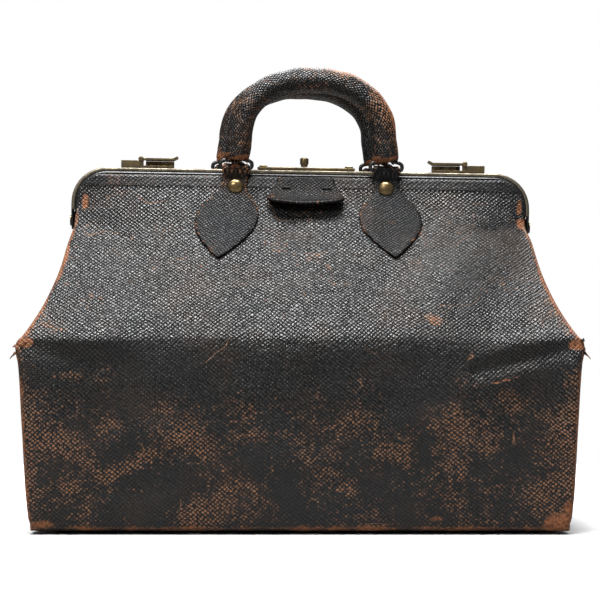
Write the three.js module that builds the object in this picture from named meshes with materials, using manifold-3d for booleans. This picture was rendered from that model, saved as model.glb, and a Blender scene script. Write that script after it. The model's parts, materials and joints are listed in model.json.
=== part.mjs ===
// An antique leather doctor bag: a soft body on a flat base, closed by a hinged pair of U-shaped
// steel frames, with two hooped handles, two lever latches and a slide lock on top.
// Millimetres. +X is to the bag's right, -Y is its front, +Z is up.
// The origin is at the middle of the base, on the surface that the bag stands on.
import * as THREE from 'three';
import { mergeVertices } from 'three/addons/utils/BufferGeometryUtils.js';
import Module from 'manifold-3d';

const manifold = await Module();
manifold.setup();

// ---- driving dimensions ------------------------------------------------------------------

const GAP = 0.35; // between pieces that touch
const LEATHER = 2.2; // thickness of the body leather
const TAB_LEATHER = 2;

// The body from its base to its upper edge: height, half depth, half length.
// The corners stand out as ears where the stiff end boards end.
const BODY = [
  [3, 98, 197],
  [12, 99, 199.5],
  [80, 101.5, 204],
  [132, 104, 209],
  [141, 104, 211],
  [152, 100.5, 199.5],
  [172, 84, 189],
  [195, 62, 181],
  [216, 43, 176.5],
];
const EAR_HEIGHT = 141;
const SEAM_INSET = 0.5; // of the end gussets' leather from the panels' ends
const WALL_MARGIN = 6; // from the panels' outside to the gussets' edges and the lining
const BOARD = 3;
const BOARD_MARGIN = 10;
const BASE_TOP = 9.2;
const CLOTH = 1.2;
const LINING_INSET = 8.5;
const LINING_FLOOR = 10.7;
const LINING_TOP = 195;
const GUSSET_FOLD = 30; // how deep the ends fold inwards at the body's upper edge
const FOOT_HEIGHT = 2.7;
const FOOT_X = 176;
const FOOT_Y = 79;

// The hinged frames. The whole frame has settled a little lower on its right side.
const SETTLE = THREE.MathUtils.degToRad(0.95);
const PIVOT_Z = 231;
const FRAME_TOP = 272;
const FRAME_HALF_LENGTH = 176;
const FRAME_CORNER = 27;
const BAR_THICK = 4;
const BAR_INNER_Y = 0.5; // half the slit between the two closed bars
const BAR_OUTER_Y = 9.5;
const LEG_END = 239.5;
const EAR_RADIUS = 7;
const EAR_THICK = 1.7;
const PIVOT_RADIUS = 2;

// The leather that is fixed to each frame: height, distance from the middle, half length.
const COLLAR = [
  [266.5, 12, 152],
  [261, 13.6, 163.5],
  [245, 22, 166],
  [224, 36.8, 154],
];

// The handles hang from square wire rings, which turn in leather loops at the frame.
const HANDLE_X = { front: 7.8, rear: 1 };
const RING_Y = 15;
const RING_Z = 272.6;
const LEG_X = 57.5; // half the distance between a handle's legs at the rings
const HOOP_X = 55.5; // the same higher up, where the hoop begins
const HOOP_Z = 296;
const HOOP_RISE = 45;
const HOOP_POWER = 2.2; // the hoop is a squarish ellipse
const GRIP_RADIUS = 10;
const CORE_RADIUS = 6.4;
const GRIP_END = 281.6;
const CORE_END = 293;
const WIRE = 3;

// The leaf-shaped tabs below the rings: height, half width.
const LEAF = [
  [265, 9.3],
  [256, 9.6],
  [248, 16.5],
  [241, 21.6],
  [233, 23.3],
  [224, 21],
  [215, 14.4],
  [208, 7],
  [203, 0.6],
];
const LOOP_RADIUS = 3.5; // of the middle of the loop's leather
const SETTLE_ROOM = 1.6; // the settled frame's tabs lie this much further off the body
const LEAF_LEAN = { front_left: -0.19, front_right: 0.11, rear_left: -0.13, rear_right: 0.13 };
const RIVET_Z = 258.2;
const RIVET_SHANK = 1.4;
const PULL_TAB_X = 3.9;
const PULL_TAB_THICK = 2.4;

// The lever latches, mirrored about LATCH_MIDDLE.
const LATCH_MIDDLE = 1.5;
const LATCH_PIN_X = 124.5;
const LATCH_PIN_Z = 278.7;
const LATCH_PIN_RADIUS = 1;
const KNUCKLE_RADIUS = 2.1;
const LEVER_LENGTH = 27;
const LEVER_HALF_WIDTH = 8.4;
const LEVER_THICK = 1.6;
const BLOCK_LENGTH = 12.5;
const BLOCK_TOP = 277.6;
const LATCH_FRONT_Y = -9.1; // the latch base covers the front bar's top between these two
const LATCH_BACK_Y = -0.9;

// The slide lock in the middle of the front frame.
const LOCK_X = 4;
const LOCK_Y = -5;
const LOCK_PLATE_LENGTH = 75;
const LOCK_TRAVEL = 5;
const KNOB_X = 2.5;
const BOLT_Z = 259;
const SLOT_END = 2.6;
const SLOT_HALF_WIDTH = 2.3;
const LOCK_FRONT_Y = -9.2;
const LOCK_BACK_Y = -0.8;
const CASE_HALF_LENGTH = 20;
const CASE_BOTTOM = 251;
const STEM_RADIUS = 1.7;
const LOCK_RIVET_X = 33; // from the lock's middle

// ---- shapes ------------------------------------------------------------------------------

// A geometry from points and the corners of its triangles, with its faces turned outwards.
function geometryOf(points, corners) {
  const geometry = new THREE.BufferGeometry();
  geometry.setAttribute('position', new THREE.Float32BufferAttribute(points.flat(), 3));
  let volume = 0;
  for (let i = 0; i < corners.length; i += 3) {
    const [a, b, c] = [0, 1, 2].map((k) => new THREE.Vector3(...points[corners[i + k]]));
    volume += a.dot(b.cross(c));
  }
  geometry.setIndex(volume > 0 ? corners : corners.reverse());
  geometry.computeVertexNormals();
  return geometry;
}

// A sheet of leather or board: a grid of points on its one side and a grid on its other.
function sheet(front, back) {
  const rows = front.length;
  const columns = front[0].length;
  const at = (side, row, column) => (side * rows + row) * columns + column;
  const corners = [];
  const quad = (a, b, c, d) => corners.push(a, b, c, a, c, d);
  for (let r = 0; r < rows - 1; r++) {
    for (let c = 0; c < columns - 1; c++) {
      quad(at(0, r, c), at(0, r, c + 1), at(0, r + 1, c + 1), at(0, r + 1, c));
      quad(at(1, r, c), at(1, r + 1, c), at(1, r + 1, c + 1), at(1, r, c + 1));
    }
    quad(at(0, r, 0), at(0, r + 1, 0), at(1, r + 1, 0), at(1, r, 0));
    const end = columns - 1;
    quad(at(0, r, end), at(1, r, end), at(1, r + 1, end), at(0, r + 1, end));
  }
  for (let c = 0; c < columns - 1; c++) {
    const end = rows - 1;
    quad(at(0, 0, c), at(1, 0, c), at(1, 0, c + 1), at(0, 0, c + 1));
    quad(at(0, end, c), at(0, end, c + 1), at(1, end, c + 1), at(1, end, c));
  }
  return geometryOf([...front.flat(), ...back.flat()], corners);
}

// An open-topped tub from closed rings of points, one list outside and one inside.
function tub(outside, inside) {
  const around = outside[0].length;
  const rings = [...[...outside].reverse(), ...inside];
  const points = rings.flat();
  const corners = [];
  for (let r = 0; r < rings.length - 1; r++) {
    if (r === outside.length - 1) continue;
    for (let i = 0; i < around; i++) {
      const next = (i + 1) % around;
      corners.push(r * around + i, r * around + next, (r + 1) * around + next);
      corners.push(r * around + i, (r + 1) * around + next, (r + 1) * around + i);
    }
  }
  const last = rings.length - 1;
  for (let i = 0; i < around; i++) {
    const next = (i + 1) % around;
    corners.push(last * around + i, last * around + next, next);
    corners.push(last * around + i, next, i);
  }
  const floors = [outside.length - 1, outside.length];
  for (const [side, ring] of floors.entries()) {
    const middle = points.length;
    points.push([0, 0, rings[ring][0][2]]);
    for (let i = 0; i < around; i++) {
      const next = (i + 1) % around;
      const pair = side === 0 ? [i, next] : [next, i];
      corners.push(ring * around + pair[0], ring * around + pair[1], middle);
    }
  }
  return geometryOf(points, corners);
}

function block(low, high) {
  const size = high.map((value, i) => value - low[i]);
  const geometry = new THREE.BoxGeometry(...size);
  return geometry.translate(...high.map((value, i) => (value + low[i]) / 2));
}

// A round rod along an axis, from one place on it to another, at its place across that axis.
function rod(axis, from, to, place, radius, sides = 12) {
  const geometry = new THREE.CylinderGeometry(radius, radius, to - from, sides);
  if (axis === 'x') geometry.rotateZ(Math.PI / 2).translate((from + to) / 2, ...place);
  if (axis === 'y') geometry.translate(place[0], (from + to) / 2, place[1]);
  if (axis === 'z') geometry.rotateX(Math.PI / 2).translate(...place, (from + to) / 2);
  return geometry;
}

// A turned piece from [radius, height] points, standing on +Z.
function turned(profile, sides = 12) {
  const points = profile.map(([radius, height]) => new THREE.Vector2(radius, height));
  return new THREE.LatheGeometry(points, sides).rotateX(Math.PI / 2);
}

function solid(geometry) {
  const bare = geometry.clone();
  bare.deleteAttribute('normal');
  bare.deleteAttribute('uv');
  const merged = mergeVertices(bare, 1e-4);
  return new manifold.Manifold(new manifold.Mesh({
    numProp: 3,
    vertProperties: new Float32Array(merged.attributes.position.array),
    triVerts: new Uint32Array(merged.index.array),
  }));
}

function joined(pieces, cuts = []) {
  let result = solid(pieces[0]);
  for (const piece of pieces.slice(1)) result = result.add(solid(piece));
  for (const cut of cuts) result = result.subtract(solid(cut));
  const mesh = result.getMesh();
  const geometry = new THREE.BufferGeometry();
  geometry.setAttribute('position', new THREE.Float32BufferAttribute(mesh.vertProperties, 3));
  geometry.setIndex(new THREE.Uint32BufferAttribute(mesh.triVerts, 1));
  geometry.computeVertexNormals();
  return geometry;
}

// The mirror image of a geometry, with its faces turned outwards again.
function mirroredInX(geometry) {
  const index = geometry.index ? [...geometry.index.array] : null;
  const p = geometry.attributes.position;
  const points = [...Array(p.count).keys()].map((i) => [-p.getX(i), p.getY(i), p.getZ(i)]);
  return geometryOf(points, index ?? points.map((_, i) => i));
}

// ---- materials and nodes -----------------------------------------------------------------

const FINISHES = {
  body_leather: { color: 0x2b2826, roughness: 0.55, metalness: 0 },
  tab_leather: { color: 0x34322f, roughness: 0.6, metalness: 0 },
  handle_leather: { color: 0x33291f, roughness: 0.5, metalness: 0 },
  brass: { color: 0x8c7343, roughness: 0.4, metalness: 0.9 },
  black_steel: { color: 0x1c1b1a, roughness: 0.45, metalness: 0.7 },
  board: { color: 0x8a7659, roughness: 0.9, metalness: 0 },
  lining: { color: 0x5a4630, roughness: 0.95, metalness: 0 },
};

const bag = new THREE.Group();
const settled = new THREE.Group();
settled.position.set(0, 0, PIVOT_Z);
settled.rotation.y = SETTLE;
bag.add(settled);
// Pieces of the frame are drawn as if it stood level, and turn with it as it has settled.
const frame = new THREE.Group();
frame.position.z = -PIVOT_Z;
settled.add(frame);

function add(parent, name, finish, geometry) {
  const mesh = new THREE.Mesh(geometry, new THREE.MeshStandardMaterial(FINISHES[finish]));
  mesh.name = name;
  parent.add(mesh);
  return mesh;
}

// ---- the body ----------------------------------------------------------------------------

// A row's value at a height between two rows of a profile.
function between(rows, height, column) {
  const rising = rows[0][0] < rows.at(-1)[0];
  const reached = rows.findIndex((row) => (rising ? row[0] >= height : row[0] <= height));
  const next = Math.max(reached, 1);
  const [a, b] = [rows[next - 1], rows[next]];
  return THREE.MathUtils.mapLinear(height, a[0], b[0], a[column], b[column]);
}

// Moves a path in the Y-Z plane sideways, to the left of its direction.
function offsetPath(path, distance) {
  return path.map(([y, z], i) => {
    const [a, b] = [path[Math.max(i - 1, 0)], path[Math.min(i + 1, path.length - 1)]];
    const length = Math.hypot(b[0] - a[0], b[1] - a[1]);
    return [y - (distance * (b[1] - a[1])) / length, z + (distance * (b[0] - a[0])) / length];
  });
}

// A leather wall that follows [height, depth, half length] rows on the front (-1) or rear (1).
function wall(rows, side) {
  const path = rows.map(([z, depth]) => [-depth, z]);
  const inner = offsetPath(path, rows[0][0] < rows.at(-1)[0] ? -LEATHER : LEATHER);
  const row = ([y, z], i) => [-1, 0, 1].map((u) => [u * rows[i][2], -side * y, z]);
  const across = (line) => line.map(row);
  return sheet(across(path), across(inner));
}

// How far an end has folded inwards at its middle, at some height.
function foldAt(height) {
  const top = BODY.at(-1)[0];
  return GUSSET_FOLD * THREE.MathUtils.clamp((height - EAR_HEIGHT) / (top - EAR_HEIGHT), 0, 1);
}

// A sheet at an end of the bag (side 1 is right), set in from the body's half length.
function endSheet(side, heights, setIn, thick, margin) {
  const grid = (inset) => heights.map((z) => {
    const depth = between(BODY, z, 1) - margin;
    return [-1, -0.5, 0, 0.5, 1].map((v) => {
      const x = between(BODY, z, 2) - inset - foldAt(z) * (1 - Math.abs(v));
      return [side * x, v * depth, z];
    });
  });
  return sheet(grid(setIn), grid(setIn + thick));
}

// The lining is an open-topped tub of cloth just inside the leather and the boards.
function lining() {
  const heights = [30, 80, EAR_HEIGHT - 3, 155, 172, LINING_TOP];
  const ring = (z, inset, margin) => {
    const depth = between(BODY, z, 1) - margin;
    const length = between(BODY, z, 2) - inset;
    const fold = foldAt(z);
    const rightEnd = [-0.5, 0, 0.5].map((v) => [length - fold * (1 - Math.abs(v)), v * depth, z]);
    const leftEnd = rightEnd.map(([x, y]) => [-x, -y, z]);
    const front = [-1, 0, 1].map((u) => [u * length, -depth, z]);
    const rear = [1, 0, -1].map((u) => [u * length, depth, z]);
    return [...front, ...rightEnd, ...rear, ...leftEnd];
  };
  const [x, y] = [LINING_INSET, WALL_MARGIN];
  const outside = [LINING_FLOOR, ...heights].map((z) => ring(z, x, y));
  const inside = [LINING_FLOOR + CLOTH, ...heights].map((z) => ring(z, x + CLOTH, y + CLOTH));
  return tub(outside, inside);
}

function footHoles() {
  const places = [-1, 1].flatMap((sx) => [-1, 1].map((sy) => [sx * FOOT_X, sy * FOOT_Y]));
  return places.map(([x, y]) => new THREE.Path().absarc(x, y, 2.4, 0, 2 * Math.PI, true));
}

// A flat plate in the base with a hole for each foot's shank.
function basePlate(halfLength, halfDepth, bottom, top) {
  const shape = new THREE.Shape([
    new THREE.Vector2(-halfLength, -halfDepth),
    new THREE.Vector2(halfLength, -halfDepth),
    new THREE.Vector2(halfLength, halfDepth),
    new THREE.Vector2(-halfLength, halfDepth),
  ]);
  shape.holes = footHoles();
  const options = { depth: top - bottom, bevelEnabled: false, curveSegments: 8 };
  return new THREE.ExtrudeGeometry(shape, options).translate(0, 0, bottom);
}

function foot() {
  return turned([
    [0, 0],
    [3.5, 0],
    [7, 1.1],
    [8, FOOT_HEIGHT],
    [2, FOOT_HEIGHT],
    [2, 9.5],
    [4.5, 9.5],
    [4.5, 10.3],
    [0, 10.3],
  ]);
}

const [baseZ, baseDepth, baseLength] = BODY[0];
const baseLeather = basePlate(baseLength - 3.6, baseDepth - 3.2, baseZ, baseZ + LEATHER);
const baseBoard = basePlate(baseLength - 8, baseDepth - 5, baseZ + LEATHER + GAP, BASE_TOP);
add(bag, 'bottom_leather', 'body_leather', baseLeather);
add(bag, 'base_board', 'board', baseBoard);
add(bag, 'front_panel', 'body_leather', wall(BODY, -1));
add(bag, 'rear_panel', 'body_leather', wall(BODY, 1));
add(bag, 'lining', 'lining', lining());
const bodyHeights = BODY.map((row) => row[0]);
const boardHeights = [10, 80, 132, EAR_HEIGHT - 2];
for (const [name, side] of [['left', -1], ['right', 1]]) {
  const gusset = endSheet(side, bodyHeights, SEAM_INSET, LEATHER, WALL_MARGIN);
  add(bag, `${name}_gusset`, 'body_leather', gusset);
  const behind = SEAM_INSET + LEATHER + 0.5;
  const board = endSheet(side, boardHeights, behind, BOARD, BOARD_MARGIN);
  add(bag, `${name}_end_board`, 'board', board);
}
for (const [end, y] of [['front', -FOOT_Y], ['rear', FOOT_Y]]) {
  for (const [name, x] of [['left', -FOOT_X], ['right', FOOT_X]]) {
    add(bag, `${end}_${name}_foot`, 'brass', foot()).position.set(x, y, 0);
  }
}

// ---- the hinged frames -------------------------------------------------------------------

// The outline of a bent bar from one leg's end over the top to the other's, at some inset.
function hoopOutline(inset) {
  const x = FRAME_HALF_LENGTH - inset;
  const top = FRAME_TOP - inset;
  const radius = FRAME_CORNER - inset;
  const path = new THREE.Path();
  path.moveTo(-x, LEG_END);
  path.lineTo(-x, top - radius);
  path.absarc(-x + radius, top - radius, radius, Math.PI, Math.PI / 2, true);
  path.lineTo(x - radius, top);
  path.absarc(x - radius, top - radius, radius, Math.PI / 2, 0, true);
  path.lineTo(x, LEG_END);
  return path.getPoints(7);
}

// The slot that the lock's stem slides in.
function lockSlot() {
  const reach = 8;
  return block(
    [KNOB_X - SLOT_END, LOCK_Y - SLOT_HALF_WIDTH, FRAME_TOP - reach],
    [KNOB_X + LOCK_TRAVEL + SLOT_END, LOCK_Y + SLOT_HALF_WIDTH, FRAME_TOP + reach],
  );
}

// One of the two bars (side -1 is the front one), with a hinge ear at each end.
function barGeometry(side) {
  const outline = [...hoopOutline(0), ...hoopOutline(BAR_THICK).reverse()];
  const [low, high] = [side * BAR_INNER_Y, side * BAR_OUTER_Y].sort((p, q) => p - q);
  const swept = { depth: high - low, bevelEnabled: false };
  const hoop = new THREE.ExtrudeGeometry(new THREE.Shape(outline), swept);
  hoop.rotateX(Math.PI / 2).translate(0, high, 0);
  // The front bar's ears lie outside the rear bar's, and a pin goes through both.
  const earX = FRAME_HALF_LENGTH - (side < 0 ? 0 : EAR_THICK + GAP);
  const pieces = [hoop];
  const cuts = [];
  for (const end of [-1, 1]) {
    const [a, b] = [end * earX, end * (earX - EAR_THICK)].sort((p, q) => p - q);
    pieces.push(rod('x', a, b, [0, PIVOT_Z], EAR_RADIUS, 20));
    pieces.push(block([a, low, PIVOT_Z], [b, high, LEG_END + 4]));
    cuts.push(rod('x', a - 1, b + 1, [0, PIVOT_Z], PIVOT_RADIUS + GAP, 14));
  }
  if (side < 0) cuts.push(lockSlot());
  return joined(pieces, cuts);
}

// A hinge pin with its head outside both ears and its clinched end inside them.
function framePivot(side) {
  const place = [0, PIVOT_Z];
  const outside = FRAME_HALF_LENGTH + GAP;
  const inside = FRAME_HALF_LENGTH - 2 * EAR_THICK - 1.2;
  const shank = rod('x', inside - 1.3, outside + 0.5, place, PIVOT_RADIUS, 14);
  const head = rod('x', outside, outside + 1, place, 4.2, 14);
  const clinch = rod('x', inside - 1.3, inside, place, 3.6, 14);
  const pin = joined([shank, head, clinch]);
  return side > 0 ? pin : pin.rotateZ(Math.PI);
}

add(frame, 'front_frame_bar', 'black_steel', barGeometry(-1));
add(frame, 'rear_frame_bar', 'black_steel', barGeometry(1));
add(frame, 'left_frame_pivot', 'black_steel', framePivot(-1));
add(frame, 'right_frame_pivot', 'black_steel', framePivot(1));

// ---- the tabs and the leather on the frames ----------------------------------------------

// The path of a leaf tab's middle in the Y-Z plane: down behind the ring, round it, and down
// the outside of the leather to the leaf's tip.
function leafPath() {
  const turn = [0, 1, 2, 3, 4, 5, 6].map((i) => Math.PI * (i / 6));
  const onLoop = (angle) => [
    -RING_Y + LOOP_RADIUS * Math.cos(angle),
    RING_Z + LOOP_RADIUS * Math.sin(angle),
  ];
  const loop = turn.map(onLoop);
  const lift = GAP + TAB_LEATHER / 2;
  const body = [...BODY].reverse().slice(0, 3).map(([z, depth]) => [z, depth + SETTLE_ROOM]);
  const outside = offsetPath([...COLLAR, ...body].map(([z, depth]) => [-depth, z]), -lift);
  const line = LEAF.map(([z]) => {
    const k = outside.findIndex((point) => point[1] <= z);
    const [a, b] = [outside[k - 1], outside[k]];
    return [THREE.MathUtils.mapLinear(z, a[1], b[1], a[0], b[0]), z];
  });
  const ends = [LOOP_RADIUS, -LOOP_RADIUS].map((y) => [-RING_Y + y, RING_Z - 2.4]);
  return [ends[0], ...loop, ends[1], ...line];
}

function leafTab(x, side, lean) {
  const path = leafPath();
  const extra = path.length - LEAF.length;
  const width = (i) => LEAF[Math.max(i - extra, 0)][1];
  const middle = (i) => x + lean * Math.max(0, LEAF[0][0] - path[i][1]);
  const row = ([y, z], i) => [-1, 0, 1].map((u) => [middle(i) + u * width(i), -side * y, z]);
  const grid = (line) => line.map(row);
  return sheet(grid(offsetPath(path, TAB_LEATHER / 2)), grid(offsetPath(path, -TAB_LEATHER / 2)));
}

// Moves a piece that stands on +Z to the rivets' height, square on the frame's leather.
function onLeather(geometry, x, side) {
  const [a, b] = [COLLAR[1], COLLAR[2]];
  const slope = Math.atan2(a[0] - b[0], b[1] - a[1]);
  geometry.rotateX(-side * slope);
  return geometry.translate(x, side * between(COLLAR, RIVET_Z, 1), RIVET_Z);
}

function rivetHole(x, side) {
  return onLeather(rod('z', -6, 6, [0, 0], RIVET_SHANK + 0.4, 10), x, side);
}

function tabRivet(x, side) {
  const bottomOfHead = TAB_LEATHER + 2 * GAP + 0.3;
  const profile = [
    [0, -LEATHER - 1.4],
    [3, -LEATHER - 1.4],
    [3, -LEATHER - 0.5],
    [RIVET_SHANK, -LEATHER - 0.5],
    [RIVET_SHANK, bottomOfHead],
    [6, bottomOfHead],
    [5.4, bottomOfHead + 1.3],
    [3.2, bottomOfHead + 2.5],
    [0, bottomOfHead + 3],
  ];
  return onLeather(turned(profile, 14), x, side);
}

// The pull tab hangs over the frame's leather and curls forwards: y, height, half width.
function pullTab() {
  const rows = [
    [-13.6, 266, 22],
    [-15.9, 260, 22.5],
    [-19.5, 254, 29],
    [-25, 249.2, 28.5],
    [-32, 247.4, 22],
  ];
  const path = rows.map(([y, z]) => [y, z]);
  const row = ([y, z], i) => [-1, -0.5, 0, 0.5, 1].map((u) => [PULL_TAB_X + u * rows[i][2], y, z]);
  return sheet(path.map(row), offsetPath(path, -PULL_TAB_THICK).map(row));
}

for (const [end, side] of [['front', -1], ['rear', 1]]) {
  const rivets = [];
  for (const [name, way] of [['left', -1], ['right', 1]]) {
    const x = HANDLE_X[end] + way * LEG_X;
    const lean = LEAF_LEAN[`${end}_${name}`];
    const rivetX = x + lean * (LEAF[0][0] - RIVET_Z);
    rivets.push(rivetX);
    const tab = joined([leafTab(x, side, lean)], [rivetHole(rivetX, side)]);
    add(frame, `${end}_${name}_leaf_tab`, 'tab_leather', tab);
    add(frame, `${end}_${name}_tab_rivet`, 'brass', tabRivet(rivetX, side));
  }
  const collar = joined([wall(COLLAR, side)], rivets.map((x) => rivetHole(x, side)));
  add(frame, `${end}_frame_leather`, 'body_leather', collar);
}
add(frame, 'pull_tab', 'tab_leather', pullTab());

// ---- the handles -------------------------------------------------------------------------

// The middle line of a handle from its left leg's end to its right one's.
function hoopPath(end) {
  const points = [];
  for (const z of [end, (end + HOOP_Z) / 2]) {
    points.push([-THREE.MathUtils.mapLinear(z, GRIP_END, HOOP_Z, LEG_X, HOOP_X), z]);
  }
  const steps = 16;
  for (let i = 0; i <= steps; i++) {
    const angle = Math.PI * (1 - i / steps);
    const c = Math.cos(angle);
    const s = Math.sin(angle);
    const x = HOOP_X * Math.sign(c) * Math.abs(c) ** (2 / HOOP_POWER);
    points.push([x, HOOP_Z + HOOP_RISE * s ** (2 / HOOP_POWER)]);
  }
  points.push(...points.slice(0, 2).reverse().map(([x, z]) => [-x, z]));
  return new THREE.CatmullRomCurve3(points.map(([x, z]) => new THREE.Vector3(x, 0, z)));
}

function circle(radius, sides) {
  const angles = [...Array(sides).keys()].map((i) => (2 * Math.PI * i) / sides);
  return angles.map((a) => new THREE.Vector2(radius * Math.cos(a), radius * Math.sin(a)));
}

function gripCover() {
  const shape = new THREE.Shape(circle(GRIP_RADIUS, 14));
  shape.holes = [new THREE.Path(circle(CORE_RADIUS + 0.6, 14).reverse())];
  return new THREE.ExtrudeGeometry(shape, { steps: 22, extrudePath: hoopPath(GRIP_END) });
}

function gripCore() {
  const shape = new THREE.Shape(circle(CORE_RADIUS - 0.1, 10));
  return new THREE.ExtrudeGeometry(shape, { steps: 16, extrudePath: hoopPath(CORE_END) });
}

// A square wire ring: a wide lower bar in the leather loop, narrowing into the handle's end.
function ring() {
  const half = { wide: 13.6, narrow: 4.8 };
  const heights = [-WIRE / 2, 5.2, 8.3, 19.4];
  const outline = [
    [half.wide, heights[0]],
    [half.wide, heights[1]],
    [half.narrow, heights[2]],
    [half.narrow, heights[3]],
  ];
  const hole = [
    [half.wide - WIRE, heights[0] + WIRE],
    [half.wide - WIRE, heights[1] - 0.5],
    [half.narrow - WIRE, heights[2] - 0.5],
    [half.narrow - WIRE, heights[3] - WIRE],
  ];
  const mirrored = (points) => points.map(([x, z]) => [-x, z]).reverse();
  const both = (points) => [...points, ...mirrored(points)].map(([x, z]) => new THREE.Vector2(x, z));
  const shape = new THREE.Shape(both(outline));
  shape.holes = [new THREE.Path(both(hole))];
  const geometry = new THREE.ExtrudeGeometry(shape, { depth: WIRE, bevelEnabled: false });
  return geometry.rotateX(Math.PI / 2).translate(0, WIRE / 2, 0);
}

for (const [end, side] of [['front', -1], ['rear', 1]]) {
  const handle = new THREE.Group();
  handle.position.set(HANDLE_X[end], side * RING_Y, 0);
  frame.add(handle);
  add(handle, `${end}_handle_cover`, 'handle_leather', gripCover());
  add(handle, `${end}_handle_core`, 'board', gripCore());
  for (const [name, way] of [['left', -1], ['right', 1]]) {
    add(handle, `${end}_${name}_ring`, 'black_steel', ring()).position.set(way * LEG_X, 0, RING_Z);
  }
}

// ---- the latches -------------------------------------------------------------------------

// Each latch is drawn for the right side, and mirrored for the left.
const LUG_Y = [[LATCH_FRONT_Y, -7], [-2, LATCH_BACK_Y]]; // of the two lugs that hold the pin

function latchPinHole() {
  return rod('y', -12, 2, [LATCH_PIN_X, LATCH_PIN_Z], LATCH_PIN_RADIUS + 0.3, 12);
}

function latchBase() {
  const [pinX, pinZ] = [LATCH_PIN_X, LATCH_PIN_Z];
  const foot = FRAME_TOP + GAP;
  const blockX = pinX + KNUCKLE_RADIUS + 0.6;
  const pieces = [
    block([blockX, LATCH_FRONT_Y, foot], [blockX + BLOCK_LENGTH, LATCH_BACK_Y, BLOCK_TOP]),
    block([pinX - LEVER_LENGTH + 2, LATCH_FRONT_Y, foot], [blockX + 1, LATCH_BACK_Y, foot + 1.4]),
  ];
  for (const [low, high] of LUG_Y) {
    pieces.push(rod('y', low, high, [pinX, pinZ], KNUCKLE_RADIUS, 14));
    pieces.push(block([pinX - 1.6, low, foot + 1], [pinX + 1.9, high, pinZ]));
    pieces.push(block([pinX, low, foot + 1], [blockX + 1, high, BLOCK_TOP - 0.4]));
  }
  return joined(pieces, [latchPinHole()]);
}

function latchPin() {
  const place = [LATCH_PIN_X, LATCH_PIN_Z];
  const shank = rod('y', LATCH_FRONT_Y - 0.5, LATCH_BACK_Y + 0.2, place, LATCH_PIN_RADIUS, 12);
  const head = rod('y', LATCH_FRONT_Y - 1.1, LATCH_FRONT_Y - 0.4, place, LATCH_PIN_RADIUS + 0.7, 12);
  return joined([shank, head]);
}

function latchLever() {
  const [pinX, pinZ] = [LATCH_PIN_X, LATCH_PIN_Z];
  const knuckle = [LUG_Y[0][1] + GAP, LUG_Y[1][0] - GAP];
  const top = pinZ + 0.9;
  const under = top - LEVER_THICK;
  const plateEnd = pinX - KNUCKLE_RADIUS - 0.7;
  const tipX = pinX - LEVER_LENGTH;
  const tip = new THREE.Shape([
    new THREE.Vector2(tipX + 2.4, under),
    new THREE.Vector2(tipX + 2.4, top),
    new THREE.Vector2(tipX - 0.8, top + 1.7),
    new THREE.Vector2(tipX - 1.2, top + 0.5),
  ]);
  const tipDepth = 2 * LEVER_HALF_WIDTH;
  const curl = new THREE.ExtrudeGeometry(tip, { depth: tipDepth, bevelEnabled: false });
  curl.rotateX(Math.PI / 2).translate(0, LEVER_HALF_WIDTH, 0);
  const pieces = [
    rod('y', ...knuckle, [pinX, pinZ], KNUCKLE_RADIUS, 14),
    block([plateEnd - 1, knuckle[0], under], [pinX, knuckle[1], top]),
    block([tipX + 2, -LEVER_HALF_WIDTH, under], [plateEnd, LEVER_HALF_WIDTH, top]),
    curl,
  ];
  return joined(pieces, [latchPinHole()]);
}

function latchStrike() {
  const foot = FRAME_TOP + GAP;
  const pinX = LATCH_PIN_X;
  const top = LATCH_PIN_Z + 0.9 - LEVER_THICK - 0.5;
  const low = [pinX - LEVER_LENGTH + 2.2, -LATCH_BACK_Y, foot];
  return block(low, [pinX - KNUCKLE_RADIUS - 1, -LATCH_FRONT_Y, top]);
}

for (const [name, way] of [['left', -1], ['right', 1]]) {
  const side = (geometry) => (way > 0 ? geometry : mirroredInX(geometry)).translate(LATCH_MIDDLE, 0, 0);
  add(frame, `${name}_latch_base`, 'brass', side(latchBase()));
  add(frame, `${name}_latch_pin`, 'brass', side(latchPin()));
  add(frame, `${name}_latch_lever`, 'brass', side(latchLever()));
  add(frame, `${name}_latch_strike`, 'brass', side(latchStrike()));
}

// ---- the lock ----------------------------------------------------------------------------

const STAPLE_X = KNOB_X + 8.2;
const PLATE_TOP = FRAME_TOP + GAP + 1.8;

function lockPlate() {
  const half = LOCK_PLATE_LENGTH / 2;
  const low = [LOCK_X - half, LOCK_FRONT_Y, FRAME_TOP + GAP];
  return joined([block(low, [LOCK_X + half, LOCK_BACK_Y, PLATE_TOP])], [lockSlot()]);
}

// The lock's case hangs under the bar and is open towards the rear frame.
function lockCase() {
  const low = [LOCK_X - CASE_HALF_LENGTH, LOCK_FRONT_Y, CASE_BOTTOM];
  const high = [LOCK_X + CASE_HALF_LENGTH, LOCK_BACK_Y, FRAME_TOP - BAR_THICK - GAP];
  const pocket = block([low[0] + 2, low[1] + 1.4, low[2] + 1.6], [high[0] - 2, 2, high[2] - 1.5]);
  return joined([block(low, high)], [pocket, lockSlot()]);
}

function lockRivet() {
  return turned([[0, 0], [3.4, 0], [3, 0.9], [1.6, 1.5], [0, 1.7]], 12);
}

// The staple on the rear frame reaches into the case, where the bolt goes through its eye.
function lockStaple() {
  const top = FRAME_TOP - BAR_THICK - GAP;
  const eye = block([STAPLE_X - 1.2, -7.2, 254.6], [STAPLE_X + 1.2, 2, 264.4]);
  const arm = block([STAPLE_X - 4, 1, 259], [STAPLE_X + 4, 9, top]);
  return joined([eye, arm], [rod('x', STAPLE_X - 3, STAPLE_X + 3, [LOCK_Y, BOLT_Z], 2.2, 12)]);
}

function lockKnob() {
  return turned([
    [0, 0],
    [2.6, 0],
    [2.6, 1.5],
    [3.3, 2],
    [3.3, 6.2],
    [2.5, 7],
    [0, 7.1],
  ], 16);
}

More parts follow.
